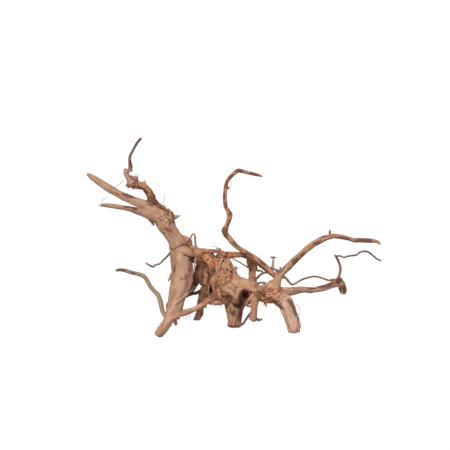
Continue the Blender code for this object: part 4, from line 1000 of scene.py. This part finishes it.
def relief(places, grain, rough, bark, fields):
    """How far each place of a stout limb stands out, in millimetres."""
    lumps = layered(places / 13, 3, 2) * (0.55 + rough)
    ribs = grain.noise(*RIBS) * (0.25 + 1.5 * rough)
    ridges = grain.noise(*RIDGES) * (0.12 + 0.42 * rough)
    groove = 1 - np.abs(grain.noise(*GROOVES))
    crevice = smoothstep(0.86, 1.0, groove) * smoothstep(0.3, 0.8, rough)
    pit = smoothstep(0.7, 0.95, grain.noise(*PITS)) * (0.2 + 0.5 * rough)
    raised = smoothstep(0.45, 0.65, bark)
    knobs = layered(places / 4.6, 8, 2) * smoothstep(0.25, 1.0, rough)
    height = 0.3 + lumps + ribs + ridges + knobs - 1.5 * crevice - 0.4 * pit + 0.3 * raised
    height -= 2.4 * smoothstep(0, 0.7, fields["pit"]) + 0.9 * smoothstep(0, 0.6, fields["dark"])
    return height


def dirt_wear_and_painted_light(places, facing, radius, edges, rough, fields):
    """Dirt and painted shade in the hollows, painted shade in the pits and dark marks, darker within 3
    mm of the floor, and how far the ridges are worn and lit with a painted highlight.
    """
    small = bulge(places, facing, radius, edges, SMALL_HOLLOW)
    large = bulge(places, facing, radius, edges, LARGE_HOLLOW)
    # Hollows are darkened: partly dirt, partly painted shade
    hollow = np.maximum(small / 0.35, 0) * 0.4 + np.maximum(large / 1.4, 0) * 0.6
    dirt_and_shade = smoothstep(0.25, 1.5, hollow) * (0.35 + 0.5 * rough)
    dirt_and_shade = np.maximum(dirt_and_shade, 0.55 * smoothstep(3.0, 0.4, places[:, 2]))
    # Pits and dark marks are darkened with painted shade
    dirt_and_shade = np.maximum(dirt_and_shade, 0.9 * smoothstep(0, 0.7, fields["pit"]))
    dirt_and_shade = np.maximum(dirt_and_shade, 1.35 * smoothstep(-0.2, 0.9, fields["dark"]))
    # Convex ridges are lightened: partly wear, partly a painted highlight
    worn_and_highlit = np.maximum(-small / 0.35, 0) * 0.6 + np.maximum(-large / 1.5, 0) * 0.4
    return dirt_and_shade, smoothstep(0.1, 1.0, worn_and_highlit)


def tinted(tone, tint, share):
    """Tones moved towards a tint, each by its own share of the way."""
    return tone + (tint - tone) * share[:, None]


def colouring(places, grain, edges, rough, worn_and_highlit, fields, tones):
    """The wood's colour: each limb's tone, with tints that drift over it and with marks, among them
    painted shade and painted highlights, and the ridges lightened, partly as wear and partly as a
    painted highlight.
    """
    tone = average(grain.of_limb([TONES[name] for name in tones]), edges, within(3))
    tone = tone * (1 + 0.14 * layered(places / 20, 61)[:, None])
    for number, (tint, most, size, even) in enumerate(DRIFTS):
        drift = layered(places / size, 81 + number, 2) + 0.6 * grain.noise(40, 7, 91 + number, 2)
        tone = tinted(tone, tint, most * (even + (1 - even) * rough) * smoothstep(0.1, 0.9, drift))
    for kind, (tint, most, low, high) in MARK_TINTS.items():
        tone = tinted(tone, tint, most * smoothstep(low, high, fields[kind]))
    # Ridges lightened: wear, and a painted highlight
    return tinted(tone, BLEACH_AND_HIGHLIGHT, (0.25 + 0.25 * rough) * worn_and_highlit)


def make_skin():
    """The whole wood but its thinnest twigs: one closed skin with all its relief."""
    limbs, tubes = skin_limbs()
    styles = [STYLES.get(limb.name, PLAIN_STYLE) for limb in limbs]
    limbs_rough, limbs_bark, tones = zip(*styles)
    bare = remeshed("bare", *merged(tubes), 1.6 * VOXEL)
    shape = read_mesh(bare.data)
    bpy.data.objects.remove(bare)
    grain = Grain(shape[0], limbs)
    grown = growths(*shape, grain, grain.of_limb(limbs_rough))
    skin = remeshed("wood", *merged(tubes + grown), VOXEL)
    scoop(skin)
    keep_biggest_shell(skin)

    edges = edges_of(skin.data)
    places, triangles = read_mesh(skin.data)
    places = relax(places, edges, within(1.5))
    grain = Grain(places, limbs)
    rough = roughness(places, grain, edges, limbs_rough)
    kept = average(grain.of_limb(limbs_bark), edges, within(1.5))
    tree = surface(places, triangles)
    fields = {kind: mark_field(places, tree, marks) for kind, marks in MARKS.items()}
    facing = outward(places, triangles)
    bark = bark_left(grain, facing, kept, fields["bark"])

    radius = np.hypot(grain.at[0][:, 1], grain.at[0][:, 2])
    height = relief(places, grain, rough, bark, fields) * np.clip(radius / 6, 0.3, 1)
    places = places + facing * average(height, edges, 1, 0.5)[:, None]
    places[:, 2] = np.maximum(places[:, 2], 0.0)
    dirt_and_shade, worn_and_highlit = dirt_wear_and_painted_light(places, outward(places, triangles), radius, edges, rough, fields)
    tone = colouring(places, grain, edges, rough, worn_and_highlit, fields, tones)
    put_places(skin.data, places)
    coarsen(skin, {"tone": tone, "bark": bark, "dirt_and_shade": dirt_and_shade, "grain": grain.own(), "rough": rough})
    return skin, limbs


def coarsen(piece, shades):
    """Brings a skin under its triangle limit and gives it its shades as attributes."""
    before, _ = read_mesh(piece.data)
    tree = kdtree.KDTree(len(before))
    for number, place in enumerate(before.tolist()):
        tree.insert(place, number)
    tree.balance()
    fewer = piece.modifiers.new("Coarsen", "DECIMATE")
    piece.data.calc_loop_triangles()
    fewer.ratio = min(1, SKIN_TRIANGLES / len(piece.data.loop_triangles))
    apply_modifiers(piece)
    after, _ = read_mesh(piece.data)
    nearest = np.array([tree.find(place)[1] for place in after.tolist()])
    give_shades(piece.data, {name: values[nearest] for name, values in shades.items()})
    piece.data.shade_smooth()


def give_shades(mesh, shades):
    """Stores shades on a mesh's points: a tone, a grain direction and single numbers."""
    for name, values in shades.items():
        values = np.asarray(values, np.float32)
        if values.ndim == 1:
            mesh.attributes.new(name, "FLOAT", "POINT").data.foreach_set("value", values)
        elif name == "tone":
            opaque = np.column_stack([values, np.ones(len(values), np.float32)])
            tone = mesh.attributes.new(name, "FLOAT_COLOR", "POINT")
            tone.data.foreach_set("color", opaque.ravel())
        else:
            mesh.attributes.new(name, "FLOAT_VECTOR", "POINT").data.foreach_set(
                "vector", values.ravel())


def keep_biggest_shell(piece):
    """Drops scraps and the walls of sealed pockets."""
    edges = edges_of(piece.data)
    label = np.arange(len(piece.data.vertices))
    while True:
        near = label.copy()
        np.minimum.at(near, edges[:, 0], label[edges[:, 1]])
        near = near[near]
        if (near == label).all():
            break
        label = near
    biggest = np.bincount(label).argmax()
    gone = np.nonzero(label != biggest)[0]
    if len(gone):
        shell = bmesh.new()
        shell.from_mesh(piece.data)
        shell.verts.ensure_lookup_table()
        bmesh.ops.delete(shell, geom=[shell.verts[k] for k in gone.tolist()], context="VERTS")
        shell.to_mesh(piece.data)
        shell.free()


def make_twigs():
    """The twigs too thin for the skin, as knotty tubes whose roots are sunk in it."""
    rng = np.random.default_rng(SEED)
    sides = SIDES["twig"]
    turn = np.arange(sides) * 2 * math.pi / sides
    spread = 1.6
    shapes, shades = [], []
    for number, (name, points) in enumerate(TWIGS.items()):
        if max(point[3] for point in points) > STOUT:
            continue
        limb = Limb(name, smooth_route(points, TWIG_STEP))
        at = np.stack(np.broadcast_arrays(
            limb.reach[:, None], spread * np.cos(turn)[None], spread * np.sin(turn)[None]), -1)
        at = at.reshape(-1, 3) + TWIG_SHIFT * number
        swell = 1 + 0.13 * layered(at * (0.28, 0.35, 0.35), 5, 2)
        swell += 0.08 * layered(at * 0.9, 9, 2)
        knots = rng.uniform(0, limb.reach[-1], max(1, int(limb.reach[-1] / KNOT_GAP)))
        for knot in knots:
            lump = KNOT_SWELL * np.exp(-((limb.reach - knot) / KNOT_LENGTH) ** 2)
            swell += lump.repeat(sides)
        shapes.append(tube(limb, sides, swell.reshape(-1, sides)))
        at = np.concatenate([at, at[:1], at[-1:]])
        tone = np.ones((len(at), 1)) * TONES[TWIG_TONES.get(name, TWIG_TONE)]
        tone = tone * (1 + 0.16 * layered(at * (0.09, 0.2, 0.2), 13)[:, None])
        bark = 0.5 + 1.2 * (layered(at * (0.11, 0.3, 0.3), 17) - 0.5)
        shades.append({"tone": tone, "bark": bark, "dirt_and_shade": np.zeros(len(at)), "grain": at,
                       "rough": np.full(len(at), 0.4)})
    twigs = new_object("wood_twigs", *merged(shapes))
    give_shades(twigs.data, {name: np.concatenate([some[name] for some in shades])
                             for name in shades[0]})
    return twigs


def make_splinters(skin, limbs):
    """Splinters, scales and loose fibres that stand off the wood."""
    rng = random.Random(SEED)
    tree = surface(*read_mesh(skin.data))
    sides = SIDES["splinter"]
    turn = np.arange(sides) * 2 * math.pi / sides
    shapes = []
    for x, y, z, spread, count, length, lean in SPLINTERS:
        for _ in range(count):
            foot, facing, _, _ = tree.find_nearest(Vector(seen(x, y, z)) + scatter(rng, 0.6 * spread))
            angle = math.radians(lean + rng.gauss(0, 28))
            heading = Vector((math.cos(angle), rng.gauss(0, 0.35), math.sin(angle)))
            heading = (heading + facing * rng.uniform(0.1, 0.7)).normalized()
            reach = length * rng.uniform(0.45, 1.3)
            fibre = rng.random() < FIBRE_SHARE
            width = rng.uniform(0.16, 0.32) if fibre else rng.uniform(0.4, 0.9)
            reach *= 1.15 if fibre else 0.6
            curl = scatter(rng, 0.2 if fibre else 0.1)
            here, route = foot - heading * SPLINTER_ROOT, []
            for step in range(SPLINTER_STEPS + 1):
                share = step / SPLINTER_STEPS
                route.append([*here, max(0.1, width * (1 - 0.7 * share**2))])
                here = here + heading * ((reach + SPLINTER_ROOT) / SPLINTER_STEPS)
                heading = (heading + curl).normalized()
            route = np.array(route)
            route[:, 2] = np.maximum(route[:, 2], route[:, 3] + 0.05)
            limb = Limb("splinter", route)
            flat = 1 - (0 if fibre else 0.6) * np.abs(np.sin(turn))
            uneven = 1 + 0.2 * np.array([rng.gauss(0, 1) for _ in range(sides * len(route))])
            shapes.append(tube(limb, sides, np.clip(uneven, 0.5, 1.5).reshape(-1, sides) * flat))
    splinters = new_object("wood_splinters", *merged(shapes))
    places, _ = read_mesh(splinters.data)
    grain = Grain(places, limbs)
    tones = [TONES[STYLES.get(limb.name, PLAIN_STYLE)[2]] for limb in limbs]
    shade = layered(places / 5, 77, 2)
    give_shades(splinters.data, {
        "tone": grain.of_limb(tones) * (1 + 0.3 * shade)[:, None], "grain": grain.own(),
        "bark": 0.5 + 0.8 * layered(places / 4, 78, 2), "dirt_and_shade": np.zeros(len(places)),
        "rough": np.full(len(places), 0.4)})
    return splinters


def make_hairs():
    """Hair roots, thin as thread."""
    shapes = [tube(Limb("hair", smooth_route(points, HAIR_STEP)), SIDES["hair"])
              for points in HAIRS]
    return new_object("wood_hair_roots", *merged(shapes))


class Graph:
    """A material's nodes, made one call at a time."""

    def __init__(self, name):
        self.material = bpy.data.materials.new(name)
        self.material.use_nodes = True
        self.tree = self.material.node_tree
        self.shader = self.tree.nodes["Principled BSDF"]

    def node(self, kind, inputs=(), **settings):
        """A new node with some settings, and with inputs given as values or as sockets."""
        made = self.tree.nodes.new("ShaderNode" + kind)
        for name, value in settings.items():
            setattr(made, name, value)
        for key, value in dict(inputs).items():
            if isinstance(value, bpy.types.NodeSocket):
                self.tree.links.new(value, made.inputs[key])
            else:
                made.inputs[key].default_value = value
        return made

    def attribute(self, name, socket):
        return self.node("Attribute", attribute_name=name).outputs[socket]

    def noise(self, vector, scale, detail=3.0, roughness=0.55):
        """Noise from 0 to 1 on a vector, with a scale for each of its axes."""
        sized = self.node("VectorMath", {0: vector, 1: scale}, operation="MULTIPLY")
        made = self.node("TexNoise", {"Vector": sized.outputs[0], "Scale": 1.0,
                                      "Detail": detail, "Roughness": roughness})
        return made.outputs["Fac"]

    def math(self, operation, first, second):
        return self.node("Math", {0: first, 1: second}, operation=operation).outputs[0]

    def spread(self, value, low, high, to_low=0.0, to_high=1.0):
        """A value brought smoothly from one range to another."""
        made = self.node("MapRange", {"Value": value, "From Min": low, "From Max": high,
                                      "To Min": to_low, "To Max": to_high},
                         interpolation_type="SMOOTHSTEP")
        return made.outputs["Result"]

    def mix(self, share, first, second, blend="MIX"):
        made = self.node("Mix", data_type="RGBA", blend_type=blend)
        for socket, value in zip((made.inputs[0], made.inputs[6], made.inputs[7]),
                                 (share, first, second)):
            if isinstance(value, bpy.types.NodeSocket):
                self.tree.links.new(value, socket)
            elif isinstance(value, (int, float)):
                socket.default_value = value
            else:
                socket.default_value = (*value, 1.0)
        return made.outputs[2]

    def plug(self, socket, name):
        self.tree.links.new(socket, self.shader.inputs[name])


def wood_material():
    """Stripped root wood: fibres along the grain, bark left in patches, dirt and painted shade in the
    hollows, pits and dark marks, and painted shadow where they are darkest.
    """
    graph = Graph("stripped_root_wood")
    grain = graph.attribute("grain", "Vector")
    tone = graph.attribute("tone", "Color")
    streaks = graph.noise(grain, (0.07, 0.55, 0.55), 4)
    fibres = graph.noise(grain, (0.22, 2.4, 2.4), 3)
    edge = graph.noise(grain, (0.5, 1.5, 1.5), 4, 0.65)
    specks = graph.noise(grain, (0.55, 1.1, 1.1), 2)
    broad = graph.mix(graph.spread(streaks, 0.35, 0.65), *STREAKS)
    strength = graph.spread(graph.attribute("rough", "Fac"), 0, 0.6, 0.4, 1.0)
    wood = graph.mix(strength, tone, broad, "MULTIPLY")
    fine = graph.mix(graph.spread(fibres, 0.3, 0.62), *FIBRES)
    wood = graph.mix(strength, wood, fine, "MULTIPLY")
    wood = graph.mix(graph.spread(specks, 0.64, 0.74, 0, 0.55), wood, tuple(BARK))
    ragged = graph.math("MULTIPLY", graph.math("SUBTRACT", edge, 0.5), 1.3)
    bark = graph.spread(graph.math("ADD", graph.attribute("bark", "Fac"), ragged), 0.44, 0.60)
    dark = graph.mix(graph.spread(fibres, 0.35, 0.65), tuple(BARK * 0.6), tuple(BARK * 1.35))
    wood = graph.mix(graph.math("MULTIPLY", bark, 0.8), wood, dark)
    dirt_and_shade = graph.math("MULTIPLY", graph.attribute("dirt_and_shade", "Fac"),
                      graph.spread(edge, 0.3, 0.65, 0.45, 1.35))
    # Dirt and painted shade, and painted shadow where they are deepest
    wood = graph.mix(dirt_and_shade, wood, tuple(SHADE_AND_DIRT))
    wood = graph.mix(graph.spread(dirt_and_shade, 0.9, 1.5, 0, 0.8), wood, tuple(SHADOW))
    graph.plug(wood, "Base Color")
    graph.plug(graph.spread(fibres, 0.2, 0.8, 0.62, 0.9), "Roughness")
    height = graph.math("ADD", graph.math("MULTIPLY", fibres, 0.5), graph.math("MULTIPLY", bark, 0.6))
    height = graph.math("ADD", height, graph.math("MULTIPLY", edge, 0.4))
    bump = graph.node("Bump", {"Height": height, "Strength": 0.7, "Distance": 0.35 * MM})
    graph.plug(bump.outputs[0], "Normal")
    graph.shader.inputs["Specular IOR Level"].default_value = 0.35
    return graph.material


def hair_material():
    """Dull twig brown."""
    graph = Graph("hair_root")
    place = graph.node("TexCoord").outputs["Object"]
    shade = graph.noise(place, (300.0, 300.0, 300.0), 2)
    graph.plug(graph.mix(shade, tuple(TONES["twig"]), tuple(TONES["grey"])), "Base Color")
    graph.shader.inputs["Roughness"].default_value = 0.7
    return graph.material


def make_stage():
    """Pale floor, and soft light from all round with more of it from the upper left."""
    bpy.ops.mesh.primitive_circle_add(vertices=96, radius=FLOOR_RADIUS, fill_type="NGON",
                                      location=(0, 0, -FLOOR_DROP))
    floor = bpy.context.object
    floor.name = "floor"
    graph = Graph("floor")
    place = graph.node("TexCoord").outputs["Object"]
    shade = graph.noise(place, (3.0, 3.0, 3.0), 2)
    graph.plug(graph.mix(shade, (0.06, 0.06, 0.06), (0.08, 0.08, 0.08)), "Base Color")
    graph.shader.inputs["Emission Color"].default_value = (1, 1, 1, 1)
    graph.shader.inputs["Emission Strength"].default_value = FLOOR_GLOW
    graph.shader.inputs["Roughness"].default_value = 0.9
    graph.shader.inputs["Specular IOR Level"].default_value = 0.0
    floor.data.materials.append(graph.material)
    floor.visible_diffuse = False
    world = bpy.data.worlds.new("studio")
    world.use_nodes = True
    world.node_tree.nodes["Background"].inputs[0].default_value = (*WORLD_TINT, 1)
    world.node_tree.nodes["Background"].inputs[1].default_value = WORLD_LIGHT
    bpy.context.scene.world = world
    for name, strength, angle, turn in SUNS:
        light = bpy.data.lights.new(name, "SUN")
        light.energy = strength
        light.angle = math.radians(angle)
        lamp = bpy.data.objects.new(name, light)
        lamp.rotation_euler = [math.radians(part) for part in turn]
        bpy.context.scene.collection.objects.link(lamp)


def make_camera():
    """Camera at the eye that the routes were read from."""
    camera = bpy.data.cameras.new("camera")
    camera.lens = LENS
    camera.sensor_width = SENSOR
    camera.clip_end = 100
    view = bpy.data.objects.new("camera", camera)
    view.location = (EYE - CENTRE) * MM
    view.rotation_euler = (math.pi / 2 - EYE_PITCH, 0, 0)
    bpy.context.scene.collection.objects.link(view)
    bpy.context.scene.camera = view


def dress(piece, material):
    """Gives a piece its material and says what it stands for."""
    piece.data.materials.clear()
    piece.data.materials.append(material)
    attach(piece, "root")
    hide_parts(NODE)


def main():
    bpy.context.scene.view_settings.view_transform = "Standard"
    skin, limbs = make_skin()
    wood = wood_material()
    dress(skin, wood)
    dress(make_twigs(), wood)
    dress(make_splinters(skin, limbs), wood)
    dress(make_hairs(), hair_material())
    make_stage()
    make_camera()
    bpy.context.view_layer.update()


main()
